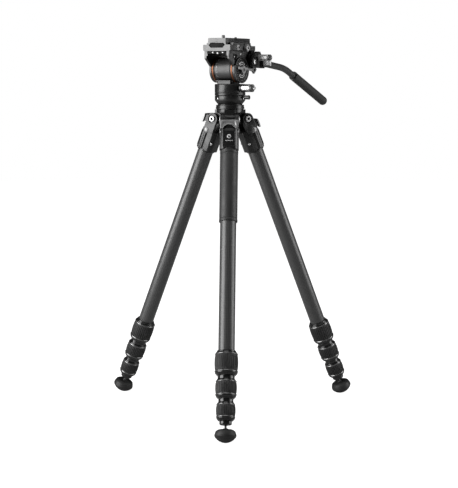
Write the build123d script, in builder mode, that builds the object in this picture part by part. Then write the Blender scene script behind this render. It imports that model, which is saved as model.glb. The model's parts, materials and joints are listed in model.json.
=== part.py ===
"""A tripod with a fluid head: crown, three telescopic legs, pan base, tilt drum, cradle,
quick-release plate and pan bar. Millimetres, +Z up, floor at z = 0, pan axis on x = y = 0."""

import os
from math import asin, atan2, cos, degrees, radians, sin

from build123d import *

# ---- legs: directions and driving sizes ----
LEGS = {"front": -90.0, "right": 30.0, "left": 150.0}
SPLAY = 22.6
HINGE_RADIUS = 32.0
HINGE_HEIGHT = 604.0
FOOT_RADIUS = 21.4
FOOT_HALF_HEIGHT = 12.6
FOOT_TOP_RADIUS = 15.0
FOOT_DOME = (FOOT_RADIUS**2 + FOOT_HALF_HEIGHT**2) / (2 * FOOT_HALF_HEIGHT)
FOOT_LIFT = FOOT_DOME - (FOOT_DOME - FOOT_HALF_HEIGHT) * cos(radians(SPLAY))
LEG_LENGTH = (HINGE_HEIGHT - FOOT_LIFT) / cos(radians(SPLAY))

# Tube radii, outside and inside, and where each tube starts and ends along the leg.
TUBES = {
    1: (16.0, 14.5, 30.0, 505.0),
    2: (14.0, 12.8, 80.0, 548.0),
    3: (12.4, 11.2, 100.0, 592.0),
    4: (10.8, 9.5, 120.0, 611.0),
}
# Twist locks: outer radius, top and bottom along the leg.
LOCKS = {1: (22.9, 475.0, 523.5), 2: (20.9, 528.0, 568.0), 3: (18.9, 572.5, 610.7)}
LOCK_BEVEL = 3.4
LOCK_NECK = 3.2
SLIDE_GAP = 0.3
GLUE_GAP = 0.02
RUNNING_GAP = 0.05

STEM_RADIUS = 2.4
FERRULE_RADIUS = 12.0
FERRULE_LENGTH = 7.6
SLEEVE_RADIUS = 18.4
SLEEVE_TOP = 69.0
SLEEVE_BOTTOM = 216.5

# ---- leg yokes, hinge bolts and angle stops ----
YOKE_WIDTH = 39.0
YOKE_OUT = 17.6
YOKE_DEPTH = 39.2
YOKE_CORNER = 13.0
YOKE_TOP = 24.0
YOKE_BOTTOM = 68.0
EAR_RADIUS = 12.0
LUG_WIDTH = 22.0
LUG_RADIUS = 11.0
EAR_SLOT = 22.8
BOLT_RADIUS = 4.0
BOLT_HEAD_RADIUS = 6.2
BOLT_RECESS_RADIUS = 9.0
BOLT_RECESS_DEPTH = 3.5
BOLT_SOCKET = 2.6
PANEL_WIDTH = 24.0
PANEL_DEPTH = 0.9
STOP_WIDTH = 36.8
STOP_BULGE = 4.0
STOP_TRAVEL = 12.0
STOP_DRAWN_OUT = {"front": 0.0, "right": 0.0, "left": STOP_TRAVEL}

# ---- crown ----
CROWN_BOTTOM = 590.0
CROWN_TOP = 624.5
CROWN_RADIUS = 19.0
CROWN_SHOULDER = 617.0
ARM_REACH = 30.2
ARM_TOP = 623.0
DISC_TOP = 632.5
DISC_RADIUS = 28.5
STUD_RADIUS = 4.76
STUD_HEAD_RADIUS = 9.0
STUD_HEAD_TOP = 612.0
STUD_TOP = 643.0

# ---- head: it faces between the front leg and the left leg ----
HEAD_TURN = -30.0
PAN_RADIUS = 31.3
PAN_BASE_NECK = 25.0
PAN_SPLIT = 651.8
PAN_TOP = 674.8
SPINDLE_RADIUS = 12.0
SPINDLE_TOP = 668.0
BASE_KNOB_PLACE = (0.0, 648.0)
BASE_KNOB_PIN = 2.0
BASE_KNOB_RADIUS = 4.5
PAN_KNOB_PLACE = (-10.0, 666.8)
PAN_KNOB_PIN = 3.0
PAN_KNOB_RADIUS = 7.9
TILT_HEIGHT = 703.3
DRUM_LEFT, DRUM_RIGHT = -24.4, 16.6
DRUM_RADIUS = 24.5
RING_RADIUS = 26.0
RING_WIDTH = 4.0
RING_SEAT = 20.0
PEDESTAL_LENGTH = 34.0
PEDESTAL_CORNER = 4.0
DRUM_LIP = 680.3
LIP_LENGTH = 43.0
LIP_THICKNESS = 1.6
SHAFT_RADIUS = 5.0
HUB_RADIUS = 26.0
LEFT_CHEEK = (-33.8, -28.8)
RIGHT_CHEEK = (21.0, 25.6)
CRADLE_HALF_LENGTH = 44.0
CHEEK_CORNER = 726.0
ARM_BOTTOM = 731.0
ARM_THICKNESS = 6.8
WEB_BOTTOM = 735.5
CRADLE_TOP = 740.8
DIAL_RADIUS = 27.0
DIAL = (26.0, 29.6)
LEVER = (29.9, 33.6)
LEVER_HANDLE = 40.0
LEVER_HANDLE_SIDE = 12.4

# ---- plate clamp and quick-release plate ----
CLAMP_MIDDLE = -1.0
CLAMP_HALF_WIDTH = 32.0
CLAMP_FRONT, CLAMP_REAR = -50.0, 47.8
CLAMP_TOP = 753.4
RAIL_FRONT, RAIL_REAR = -38.0, 31.0
RAIL_TOP = 757.4
TROUGH_HALF_TOP = 19.5
TROUGH_HALF_BOTTOM = 14.2
TROUGH_BOTTOM = 747.4
PLATE_HALF_WIDTH = 20.8
PLATE_FLARE = 22.4
PLATE_BOTTOM, PLATE_WAIST, PLATE_TOP = 753.7, 755.4, 766.6
PLATE_FRONT, PLATE_REAR = -49.0, 45.5
CAMERA_SCREW_PLACE = -24.0
CAMERA_SCREW_RADIUS = 3.175
CAMERA_SCREW_NECK = 2.6
CAMERA_SCREW_TOP = 772.8
PIN_PLACE = 23.0
PIN_RADIUS = 2.6
PLATE_KNOB_PLACE = (10.0, 747.4)
BUTTON_PLACE = (-20.0, 748.0)
BUTTON_RADIUS = 4.2
KNOB_PIN = 3.0
LEVEL_PLACE = (-14.0, 39.5)
LEVEL_RADIUS = 6.0
REAR_LEDGE = 751.6

# ---- pan bar and its clamp ----
ROSETTE = (42.0, 728.1)
ROSETTE_RADIUS = 12.5
ROSETTE_FACES = (25.8, 33.0)
BAR_SIDE = 41.6
BAR_RADIUS = 6.8
BAR_START = (49.5, 718.3)
BAR_CORNER = (150.0, 706.8)
BAR_SLOPE = degrees(atan2(BAR_START[1] - BAR_CORNER[1], BAR_CORNER[0] - BAR_START[0]))
BAR_DROOP = 22.2
BAR_BEND = 150.0
GRIP_START = 41.0
GRIP_LENGTH = 155.5
GRIP_RADIUS = 9.7
CLAMP_BOSS = (24.5, 719.3)
CLAMP_BOSS_RADIUS = 9.5
CLAMP_COVER = (57.5, 717.4)
BARREL_RADIUS = 6.4
BARREL_LENGTH = 23.3

UP = Vector(0, 0, 1)


def save(piece, node):
    """Label a finished piece and write it as its own STEP file."""
    piece.part.label = node
    export_step(piece.part, f"parts/{node}.step")


# ---------------------------------------------------------------- leg planes
def outward(azimuth):
    return Vector(cos(radians(azimuth)), sin(radians(azimuth)), 0)


def pin_way(azimuth):
    return outward(azimuth + 90)


def hinge(azimuth):
    return outward(azimuth) * HINGE_RADIUS + UP * HINGE_HEIGHT


def leg_down(azimuth):
    return outward(azimuth) * sin(radians(SPLAY)) - UP * cos(radians(SPLAY))


def leg_out(azimuth):
    return outward(azimuth) * cos(radians(SPLAY)) + UP * sin(radians(SPLAY))


def leg_axis(azimuth):
    return Axis(hinge(azimuth), leg_down(azimuth))


def across_leg(azimuth, along):
    """A plane square to the leg: x away from the pan axis, y along the hinge pin, normal up the leg."""
    centre = hinge(azimuth) + leg_down(azimuth) * along
    return Plane(centre, x_dir=leg_out(azimuth), z_dir=leg_down(azimuth) * -1)


def beside_leg(azimuth, offset=0.0):
    """A plane along the leg: x away from the pan axis, y down the leg, normal along the hinge pin."""
    return Plane(hinge(azimuth) + pin_way(azimuth) * offset, x_dir=leg_out(azimuth), z_dir=pin_way(azimuth))


def facing_leg(azimuth, out):
    """A plane that faces away from the pan axis: x along the hinge pin, y up the leg."""
    return Plane(hinge(azimuth) + leg_out(azimuth) * out, x_dir=pin_way(azimuth), z_dir=leg_out(azimuth))


# ---------------------------------------------------------------- head planes
def level(height):
    """A level plane of the head: x along the tilt shaft, y to the rear."""
    return Plane((0, 0, height), x_dir=outward(HEAD_TURN), z_dir=UP)


def beside_head(across):
    """An upright plane square to the tilt shaft: x to the rear, y up."""
    return Plane(outward(HEAD_TURN) * across, x_dir=outward(HEAD_TURN + 90), z_dir=outward(HEAD_TURN))


def facing_head(rear):
    """An upright plane that faces the front of the head: x along the tilt shaft, y up."""
    return Plane(outward(HEAD_TURN + 90) * rear, x_dir=outward(HEAD_TURN), z_dir=outward(HEAD_TURN + 90) * -1)


# ---------------------------------------------------------------- legs
def make_yoke(azimuth):
    half_width = YOKE_WIDTH / 2
    with BuildPart() as yoke:
        with BuildSketch(across_leg(azimuth, YOKE_BOTTOM)):
            with Locations((YOKE_OUT - YOKE_DEPTH / 2, 0)):
                RectangleRounded(YOKE_DEPTH, YOKE_WIDTH, YOKE_CORNER)
        extrude(amount=YOKE_BOTTOM - YOKE_TOP)
        chamfer(yoke.faces().sort_by(leg_axis(azimuth))[-1].edges(), 1.2)
        with BuildSketch(beside_leg(azimuth, -half_width)):
            Circle(EAR_RADIUS)
            with Locations((0, YOKE_TOP / 2 + 4)):
                Rectangle(2 * EAR_RADIUS, YOKE_TOP + 8)
        extrude(amount=YOKE_WIDTH)
        with BuildSketch(beside_leg(azimuth, -EAR_SLOT / 2)):
            with Locations((0, YOKE_TOP / 2 - 10)):
                Rectangle(YOKE_DEPTH + 8, YOKE_TOP + 20)
        extrude(amount=EAR_SLOT, mode=Mode.SUBTRACT)
        with BuildSketch(across_leg(azimuth, YOKE_BOTTOM)):
            Circle(TUBES[1][0] + GLUE_GAP)
        extrude(amount=YOKE_BOTTOM - TUBES[1][2], mode=Mode.SUBTRACT)
        with BuildSketch(facing_leg(azimuth, YOKE_OUT)):
            with Locations((0, -(YOKE_TOP + YOKE_BOTTOM) / 2)):
                RectangleRounded(PANEL_WIDTH, YOKE_BOTTOM - YOKE_TOP - 12, 4)
        extrude(amount=-PANEL_DEPTH, mode=Mode.SUBTRACT)
        with BuildSketch(beside_leg(azimuth, -half_width)):
            Circle(BOLT_RADIUS + RUNNING_GAP)
        extrude(amount=YOKE_WIDTH, mode=Mode.SUBTRACT)
        for side in (-half_width, half_width):
            with BuildSketch(beside_leg(azimuth, side)):
                Circle(BOLT_RECESS_RADIUS)
            extrude(amount=BOLT_RECESS_DEPTH if side < 0 else -BOLT_RECESS_DEPTH, mode=Mode.SUBTRACT)
    return yoke


def make_tube(azimuth, number):
    outer, inner, top, bottom = TUBES[number]
    with BuildPart() as tube:
        with BuildSketch(across_leg(azimuth, bottom)):
            Circle(outer)
            Circle(inner, mode=Mode.SUBTRACT)
        extrude(amount=bottom - top)
    return tube


def make_lock(azimuth, number):
    """A twist collar: it turns on its own tube, and the next tube slides through its lower lip."""
    outer, top, bottom = LOCKS[number]
    bore = TUBES[number][0] + SLIDE_GAP
    lip = TUBES[number + 1][0] + SLIDE_GAP
    shoulder = TUBES[number][3] + 1.0
    with BuildPart() as lock:
        with BuildSketch(beside_leg(azimuth)):
            with BuildLine():
                Polyline(
                    (bore, top),
                    (outer - LOCK_NECK, top),
                    (outer - 0.9, top + LOCK_BEVEL),
                    (outer - 0.9, top + LOCK_BEVEL + 1.5),
                    (outer, top + LOCK_BEVEL + 2.4),
                    (outer, bottom - LOCK_BEVEL - 2.4),
                    (outer - 0.9, bottom - LOCK_BEVEL - 1.5),
                    (outer - 0.9, bottom - LOCK_BEVEL),
                    (outer - LOCK_NECK, bottom),
                    (lip, bottom),
                    (lip, shoulder),
                    (bore, shoulder),
                    close=True,
                )
            make_face()
        revolve(axis=leg_axis(azimuth))
    return lock


def make_foot(azimuth):
    """A domed rubber foot, wider than it is high, pushed onto the stud of the stem."""
    hole = STEM_RADIUS + GLUE_GAP
    top = LEG_LENGTH - FOOT_HALF_HEIGHT
    bottom = LEG_LENGTH + FOOT_HALF_HEIGHT
    hole_end = LEG_LENGTH - 3
    half = asin(FOOT_RADIUS / FOOT_DOME) / 2
    middle = bottom - FOOT_DOME * (1 - cos(half))
    shoulder = (FOOT_RADIUS - 1.6, LEG_LENGTH - 7.5)
    with BuildPart() as foot:
        with BuildSketch(beside_leg(azimuth)):
            with BuildLine():
                Line((hole, top), (FOOT_TOP_RADIUS, top))
                ThreePointArc((FOOT_TOP_RADIUS, top), shoulder, (FOOT_RADIUS, LEG_LENGTH))
                ThreePointArc((FOOT_RADIUS, LEG_LENGTH), (FOOT_DOME * sin(half), middle), (0, bottom))
                Polyline((0, bottom), (0, hole_end), (hole, hole_end), (hole, top))
            make_face()
        revolve(axis=leg_axis(azimuth))
    return foot


def make_foot_stem(azimuth):
    """The metal end of the last tube: a plug, a ferrule and the stud that carries the foot."""
    ferrule_top = TUBES[4][3]
    ferrule_bottom = ferrule_top + FERRULE_LENGTH
    with BuildPart() as stem:
        with BuildSketch(beside_leg(azimuth)):
            with BuildLine():
                Polyline(
                    (0, ferrule_top - 14),
                    (TUBES[4][1] - GLUE_GAP, ferrule_top - 14),
                    (TUBES[4][1] - GLUE_GAP, ferrule_top),
                    (FERRULE_RADIUS - 0.8, ferrule_top),
                    (FERRULE_RADIUS, ferrule_top + 0.8),
                    (FERRULE_RADIUS, ferrule_bottom - 2.5),
                    (FERRULE_RADIUS - 4.5, ferrule_bottom),
                    (STEM_RADIUS, ferrule_bottom),
                    (STEM_RADIUS, LEG_LENGTH - 3.5),
                    (0, LEG_LENGTH - 3.5),
                    close=True,
                )
            make_face()
        revolve(axis=leg_axis(azimuth))
    return stem


def make_sleeve(azimuth):
    with BuildPart() as sleeve:
        with BuildSketch(across_leg(azimuth, SLEEVE_BOTTOM)):
            Circle(SLEEVE_RADIUS)
            Circle(TUBES[1][0] + GLUE_GAP, mode=Mode.SUBTRACT)
        extrude(amount=SLEEVE_BOTTOM - SLEEVE_TOP)
        chamfer(sleeve.edges().filter_by(GeomType.CIRCLE).sort_by(SortBy.RADIUS)[-2:], 0.8)
    return sleeve


def make_stop_tab(azimuth, drawn_out):
    """The sliding angle stop: a rolled top edge, a skirt with an arch, and a block between them."""
    inner, skirt = EAR_RADIUS + 0.5, YOKE_OUT + 0.4
    raised = YOKE_TOP - drawn_out
    with BuildPart() as tab:
        with BuildSketch(beside_leg(azimuth, -STOP_WIDTH / 2)):
            with BuildLine():
                Line((inner, raised - 0.5), (inner, raised - 15.5))
                Line((inner, raised - 15.5), (skirt, raised - 15.5))
                TangentArc((skirt, raised - 15.5), (skirt + STOP_BULGE, raised - 7.5), tangent=(1, 0))
                Polyline(
                    (skirt + STOP_BULGE, raised - 7.5),
                    (skirt + STOP_BULGE / 2, raised + 2.5),
                    (skirt, raised + 2.5),
                    (skirt, raised - 0.5),
                    (inner, raised - 0.5),
                )
            make_face()
        extrude(amount=STOP_WIDTH)
        with BuildSketch(facing_leg(azimuth, skirt - 0.1)):
            with Locations((0, -(raised + 8.0))):
                Circle(13.5)
        extrude(amount=14, mode=Mode.SUBTRACT)
    return tab


def make_leg(name, azimuth):
    save(make_yoke(azimuth), f"{name}_yoke")
    for number in TUBES:
        save(make_tube(azimuth, number), f"{name}_tube_{number}")
    for number in LOCKS:
        save(make_lock(azimuth, number), f"{name}_lock_{number}")
    save(make_foot(azimuth), f"{name}_foot")
    save(make_foot_stem(azimuth), f"{name}_foot_stem")
    save(make_stop_tab(azimuth, STOP_DRAWN_OUT[name]), f"{name}_stop_tab")


# ---------------------------------------------------------------- crown
def make_spider():
    """The crown casting: a short hub with one lug for each leg and a pocket for the stud head."""
    with BuildPart() as spider:
        with BuildSketch(Plane.XZ):
            with BuildLine():
                Polyline(
                    (0, CROWN_BOTTOM),
                    (CROWN_RADIUS - 3, CROWN_BOTTOM),
                    (CROWN_RADIUS, CROWN_BOTTOM + 3),
                    (CROWN_RADIUS, CROWN_SHOULDER - 3),
                    (DISC_RADIUS - 1, CROWN_SHOULDER),
                    (DISC_RADIUS - 1, CROWN_TOP),
                    (0, CROWN_TOP),
                    close=True,
                )
            make_face()
        revolve(axis=Axis.Z)
        for azimuth in LEGS.values():
            lug_side = pin_way(azimuth) * (LUG_WIDTH / 2)
            with BuildSketch(Plane(lug_side, x_dir=outward(azimuth), z_dir=pin_way(azimuth) * -1)):
                with Locations((HINGE_RADIUS, HINGE_HEIGHT)):
                    Circle(LUG_RADIUS)
                with Locations((HINGE_RADIUS / 2, HINGE_HEIGHT)):
                    Rectangle(HINGE_RADIUS, 2 * LUG_RADIUS)
                with BuildLine():
                    Polyline(
                        (0, HINGE_HEIGHT),
                        (HINGE_RADIUS, HINGE_HEIGHT),
                        (ARM_REACH, CROWN_SHOULDER),
                        (ARM_REACH, ARM_TOP),
                        (0, ARM_TOP),
                        close=True,
                    )
                make_face()
            extrude(amount=LUG_WIDTH)
        for azimuth in LEGS.values():
            with BuildSketch(beside_leg(azimuth, -LUG_WIDTH)):
                Circle(BOLT_RADIUS + GLUE_GAP)
            extrude(amount=2 * LUG_WIDTH, mode=Mode.SUBTRACT)
        with BuildSketch(Plane.XY.offset(CROWN_BOTTOM)):
            Circle(STUD_HEAD_RADIUS + 1)
        extrude(amount=STUD_HEAD_TOP - CROWN_BOTTOM, mode=Mode.SUBTRACT)
        with BuildSketch(Plane.XY.offset(STUD_HEAD_TOP)):
            Circle(STUD_RADIUS + GLUE_GAP)
        extrude(amount=CROWN_TOP - STUD_HEAD_TOP, mode=Mode.SUBTRACT)
    return spider


def make_hinge_bolts():
    """Three socket-headed hinge bolts, one through each lug, with a matching nut head."""
    head_face = YOKE_WIDTH / 2 - 0.3
    head_seat = YOKE_WIDTH / 2 - BOLT_RECESS_DEPTH + 0.1
    with BuildPart() as bolts:
        for azimuth in LEGS.values():
            with BuildSketch(beside_leg(azimuth, -head_face)):
                Circle(BOLT_RADIUS)
            extrude(amount=2 * head_face)
            for side in (-1, 1):
                with BuildSketch(beside_leg(azimuth, side * head_seat)):
                    Circle(BOLT_HEAD_RADIUS)
                extrude(amount=side * (head_face - head_seat))
            for side in (-1, 1):
                with BuildSketch(beside_leg(azimuth, side * head_face)):
                    RegularPolygon(BOLT_SOCKET, 6)
                extrude(amount=-side * 2.4, mode=Mode.SUBTRACT)
    return bolts


def make_top_disc():
    with BuildPart() as disc:
        with BuildSketch(Plane.XZ):
            with BuildLine():
                Polyline(
                    (STUD_RADIUS + GLUE_GAP, CROWN_TOP),
                    (DISC_RADIUS + 0.8, CROWN_TOP),
                    (DISC_RADIUS + 0.8, CROWN_TOP + 1.6),
                    (DISC_RADIUS, CROWN_TOP + 4.4),
                    (DISC_RADIUS, DISC_TOP - 0.6),
                    (DISC_RADIUS - 0.6, DISC_TOP),
                    (STUD_RADIUS + GLUE_GAP, DISC_TOP),
                    close=True,
                )
            make_face()
        revolve(axis=Axis.Z)
    return disc


def make_mount_screw():
    with BuildPart() as screw:
        with BuildSketch(Plane.XY.offset(STUD_HEAD_TOP)):
            Circle(STUD_HEAD_RADIUS)
        extrude(amount=-8)
        with BuildSketch(Plane.XY.offset(STUD_HEAD_TOP)):
            Circle(STUD_RADIUS)
        extrude(amount=STUD_TOP - STUD_HEAD_TOP)
        with BuildSketch(Plane.XY.offset(STUD_HEAD_TOP - 8)):
            RegularPolygon(5, 6)
        extrude(amount=4, mode=Mode.SUBTRACT)
    return screw


# ---------------------------------------------------------------- pan base
def make_pan_base():
    """The fixed lower ring of the head, with the spindle that the pan housing turns on."""
    with BuildPart() as base:
        with BuildSketch(Plane.XZ):
            with BuildLine():
                Polyline(
                    (0, DISC_TOP),
                    (PAN_BASE_NECK, DISC_TOP),
                    (PAN_BASE_NECK, DISC_TOP + 1.6),
                    (PAN_RADIUS - 1.8, DISC_TOP + 7.0),
                    (PAN_RADIUS - 0.2, DISC_TOP + 9.5),
                    (PAN_RADIUS - 0.2, PAN_SPLIT - 1.0),
                    (PAN_RADIUS - 0.8, PAN_SPLIT - 0.4),
                    (SPINDLE_RADIUS, PAN_SPLIT - 0.4),
                    (SPINDLE_RADIUS, SPINDLE_TOP),
                    (0, SPINDLE_TOP),
                    close=True,
                )
            make_face()
        revolve(axis=Axis.Z)
        with BuildSketch(Plane.XY.offset(DISC_TOP)):
            Circle(STUD_RADIUS + GLUE_GAP)
        extrude(amount=STUD_TOP - DISC_TOP + 1, mode=Mode.SUBTRACT)
        with BuildSketch(knob_plane(PAN_RADIUS - 7, BASE_KNOB_PLACE)):
            Circle(BASE_KNOB_PIN + RUNNING_GAP)
        extrude(amount=12, mode=Mode.SUBTRACT)
    return base


def knob_plane(across, place):
    """A plane square to the tilt shaft whose origin is at one place, given as rear and height."""
    rear, height = place
    centre = outward(HEAD_TURN) * across + outward(HEAD_TURN + 90) * rear + UP * height
    return Plane(centre, x_dir=outward(HEAD_TURN + 90), z_dir=outward(HEAD_TURN))


def make_pan_housing():
    with BuildPart() as housing:
        with BuildSketch(Plane.XZ):
            with BuildLine():
                Polyline(
                    (SPINDLE_RADIUS + RUNNING_GAP, PAN_SPLIT),
                    (PAN_RADIUS - 0.6, PAN_SPLIT),
                    (PAN_RADIUS, PAN_SPLIT + 0.6),
                    (PAN_RADIUS, PAN_SPLIT + 4.6),
                    (PAN_RADIUS - 0.7, PAN_SPLIT + 5.2),
                    (PAN_RADIUS, PAN_SPLIT + 5.8),
                    (PAN_RADIUS, PAN_TOP - 1.2),
                    (PAN_RADIUS - 1.2, PAN_TOP),
                    (0, PAN_TOP),
                    (0, SPINDLE_TOP + 0.4),
                    (SPINDLE_RADIUS + RUNNING_GAP, SPINDLE_TOP + 0.4),
                    close=True,
                )
            make_face()
        revolve(axis=Axis.Z)
        with BuildSketch(knob_plane(17, PAN_KNOB_PLACE)):
            Circle(PAN_KNOB_PIN + RUNNING_GAP)
        extrude(amount=20, mode=Mode.SUBTRACT)
    return housing


def make_pan_lock_knob():
    """A turned barrel knob with an end cap, a short nose and a threaded pin."""
    with BuildPart() as knob:
        with BuildSketch(knob_plane(18, PAN_KNOB_PLACE)):
            Circle(PAN_KNOB_PIN)
        extrude(amount=16)
        with BuildSketch(knob_plane(31.9, PAN_KNOB_PLACE)):
            Circle(PAN_KNOB_RADIUS)
        extrude(amount=23.6)
        with BuildSketch(knob_plane(55.5, PAN_KNOB_PLACE)):
            Circle(PAN_KNOB_RADIUS - 0.5)
        extrude(amount=5.5)
        with BuildSketch(knob_plane(61, PAN_KNOB_PLACE)):
            Circle(3.6)
        extrude(amount=5)
        chamfer(knob.faces().sort_by(Axis((0, 0, 0), outward(HEAD_TURN)))[-1].edges(), 0.8)
    return knob


def make_base_lock_knob():
    with BuildPart() as knob:
        with BuildSketch(knob_plane(PAN_RADIUS - 6, BASE_KNOB_PLACE)):
            Circle(BASE_KNOB_PIN)
        extrude(amount=10)
        with BuildSketch(knob_plane(34.5, BASE_KNOB_PLACE)):
            Circle(BASE_KNOB_RADIUS)
        extrude(amount=11.5)
        chamfer(knob.faces().sort_by(Axis((0, 0, 0), outward(HEAD_TURN)))[-1].edges(), 0.6)
    return knob


# ---------------------------------------------------------------- tilt unit
def make_tilt_housing():
    """The fixed drum of the tilt unit on its pedestal, with a seat for an accent ring at each end."""
    middle, width = (DRUM_LEFT + DRUM_RIGHT) / 2, DRUM_RIGHT - DRUM_LEFT
    with BuildPart() as housing:
        with BuildSketch(level(PAN_TOP)):
            with Locations((middle, 0)):
                RectangleRounded(width - 5, PEDESTAL_LENGTH, PEDESTAL_CORNER)
        extrude(amount=DRUM_LIP - PAN_TOP)
        with BuildSketch(level(DRUM_LIP)):
            with Locations((middle, 0)):
                RectangleRounded(width - 0.6, LIP_LENGTH, PEDESTAL_CORNER)
        extrude(amount=LIP_THICKNESS)
        with BuildSketch(beside_head(DRUM_LEFT)):
            with Locations((0, TILT_HEIGHT)):
                Circle(DRUM_RADIUS)
        extrude(amount=width)
        with BuildSketch(beside_head(DRUM_LEFT - RING_WIDTH)):
            with Locations((0, TILT_HEIGHT)):
                Circle(RING_SEAT)
        extrude(amount=width + 2 * RING_WIDTH)
        with BuildSketch(beside_head(DRUM_LEFT - 10)):
            with Locations((0, TILT_HEIGHT)):
                Circle(SHAFT_RADIUS + RUNNING_GAP)
        extrude(amount=width + 20, mode=Mode.SUBTRACT)
    return housing


def make_accent_rings():
    with BuildPart() as rings:
        for start in (DRUM_LEFT - RING_WIDTH, DRUM_RIGHT):
            with BuildSketch(beside_head(start)):
                with Locations((0, TILT_HEIGHT)):
                    Circle(RING_RADIUS)
                    Circle(RING_SEAT + GLUE_GAP, mode=Mode.SUBTRACT)
            extrude(amount=RING_WIDTH)
        chamfer(rings.edges().filter_by(GeomType.CIRCLE).group_by(SortBy.RADIUS)[-1], 0.6)
    return rings


def make_tilt_shaft():
    with BuildPart() as shaft:
        with BuildSketch(beside_head(LEFT_CHEEK[0] + 0.6)):
            with Locations((0, TILT_HEIGHT)):
                Circle(SHAFT_RADIUS)
        extrude(amount=LEVER[0] + 1 - LEFT_CHEEK[0])
    return shaft


def make_tilt_cradle():
    """The U-shaped saddle that tilts: a cheek at each end of the drum, joined by a web above it."""
    left, right = LEFT_CHEEK[0], RIGHT_CHEEK[1]
    half = CRADLE_HALF_LENGTH
    with BuildPart() as cradle:
        for near, far in (LEFT_CHEEK, RIGHT_CHEEK):
            with BuildSketch(beside_head(near)):
                with Locations((0, TILT_HEIGHT)):
                    Circle(HUB_RADIUS)
                with BuildLine():
                    Polyline(
                        (-HUB_RADIUS * 0.96, TILT_HEIGHT + 6.5),
                        (-half, CHEEK_CORNER),
                        (-half, CRADLE_TOP),
                        (half, CRADLE_TOP),
                        (half, CHEEK_CORNER),
                        (HUB_RADIUS * 0.96, TILT_HEIGHT + 6.5),
                        close=True,
                    )
                make_face()
            extrude(amount=far - near)
        with BuildSketch(level(WEB_BOTTOM)):
            with Locations(((left + right) / 2, 0)):
                Rectangle(right - left, 2 * CRADLE_HALF_LENGTH)
        extrude(amount=CRADLE_TOP - WEB_BOTTOM)
        for middle in (left + ARM_THICKNESS / 2 + 1, right - ARM_THICKNESS / 2):
            with BuildSketch(level(ARM_BOTTOM)):
                with Locations((middle, 0)):
                    Rectangle(ARM_THICKNESS, 2 * CRADLE_HALF_LENGTH)
            extrude(amount=CRADLE_TOP - ARM_BOTTOM)
        with BuildSketch(beside_head(left - 1)):
            with Locations((0, TILT_HEIGHT)):
                Circle(SHAFT_RADIUS + GLUE_GAP)
        extrude(amount=right - left + 2, mode=Mode.SUBTRACT)
        with BuildSketch(beside_head(right)):
            with BuildLine():
                Polyline((-31, 736), (-12, 733.5), (-21, 720.5), (-31, 728.5), close=True)
            make_face()
        extrude(amount=-2.2, mode=Mode.SUBTRACT)
    return cradle


def make_drag_dial():
    """The tilt drag dial: a dished disc with a raised rim and a hub on the tilt shaft."""
    with BuildPart() as dial:
        with BuildSketch(beside_head(DIAL[0])):
            with Locations((0, TILT_HEIGHT)):
                Circle(DIAL_RADIUS)
        extrude(amount=DIAL[1] - DIAL[0])
        chamfer(dial.edges().filter_by(GeomType.CIRCLE), 0.6)
        with BuildSketch(beside_head(DIAL[1])):
            with Locations((0, TILT_HEIGHT)):
                Circle(DIAL_RADIUS - 3.2)
                Circle(9.5, mode=Mode.SUBTRACT)
        extrude(amount=-1.4, mode=Mode.SUBTRACT)
        with BuildSketch(beside_head(DIAL[0])):
            with Locations((0, TILT_HEIGHT)):
                Circle(SHAFT_RADIUS + RUNNING_GAP)
        extrude(amount=10, mode=Mode.SUBTRACT)
    return dial


def make_tilt_lock_lever():
    """The tilt lock: a hub, a bar across the dial and a faceted handle behind it."""
    with BuildPart() as lever:
        with BuildSketch(beside_head(LEVER[0])):
            with Locations((0, TILT_HEIGHT)):
                Circle(7.5)
            with Locations((6.5, TILT_HEIGHT + 2.0)):
                Rectangle(53, 4.6, rotation=-4)
        extrude(amount=LEVER[1] - LEVER[0])
        with BuildSketch(beside_head(LEVER[0])):
            with Locations((LEVER_HANDLE, TILT_HEIGHT + 1.0)):
                Rectangle(LEVER_HANDLE_SIDE, LEVER_HANDLE_SIDE, rotation=45)
        extrude(amount=4.2)
        with BuildSketch(beside_head(LEVER[0])):
            with Locations((0, TILT_HEIGHT)):
                Circle(SHAFT_RADIUS + RUNNING_GAP)
        extrude(amount=LEVER[1] - LEVER[0] - 1.2, mode=Mode.SUBTRACT)
    return lever


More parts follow.
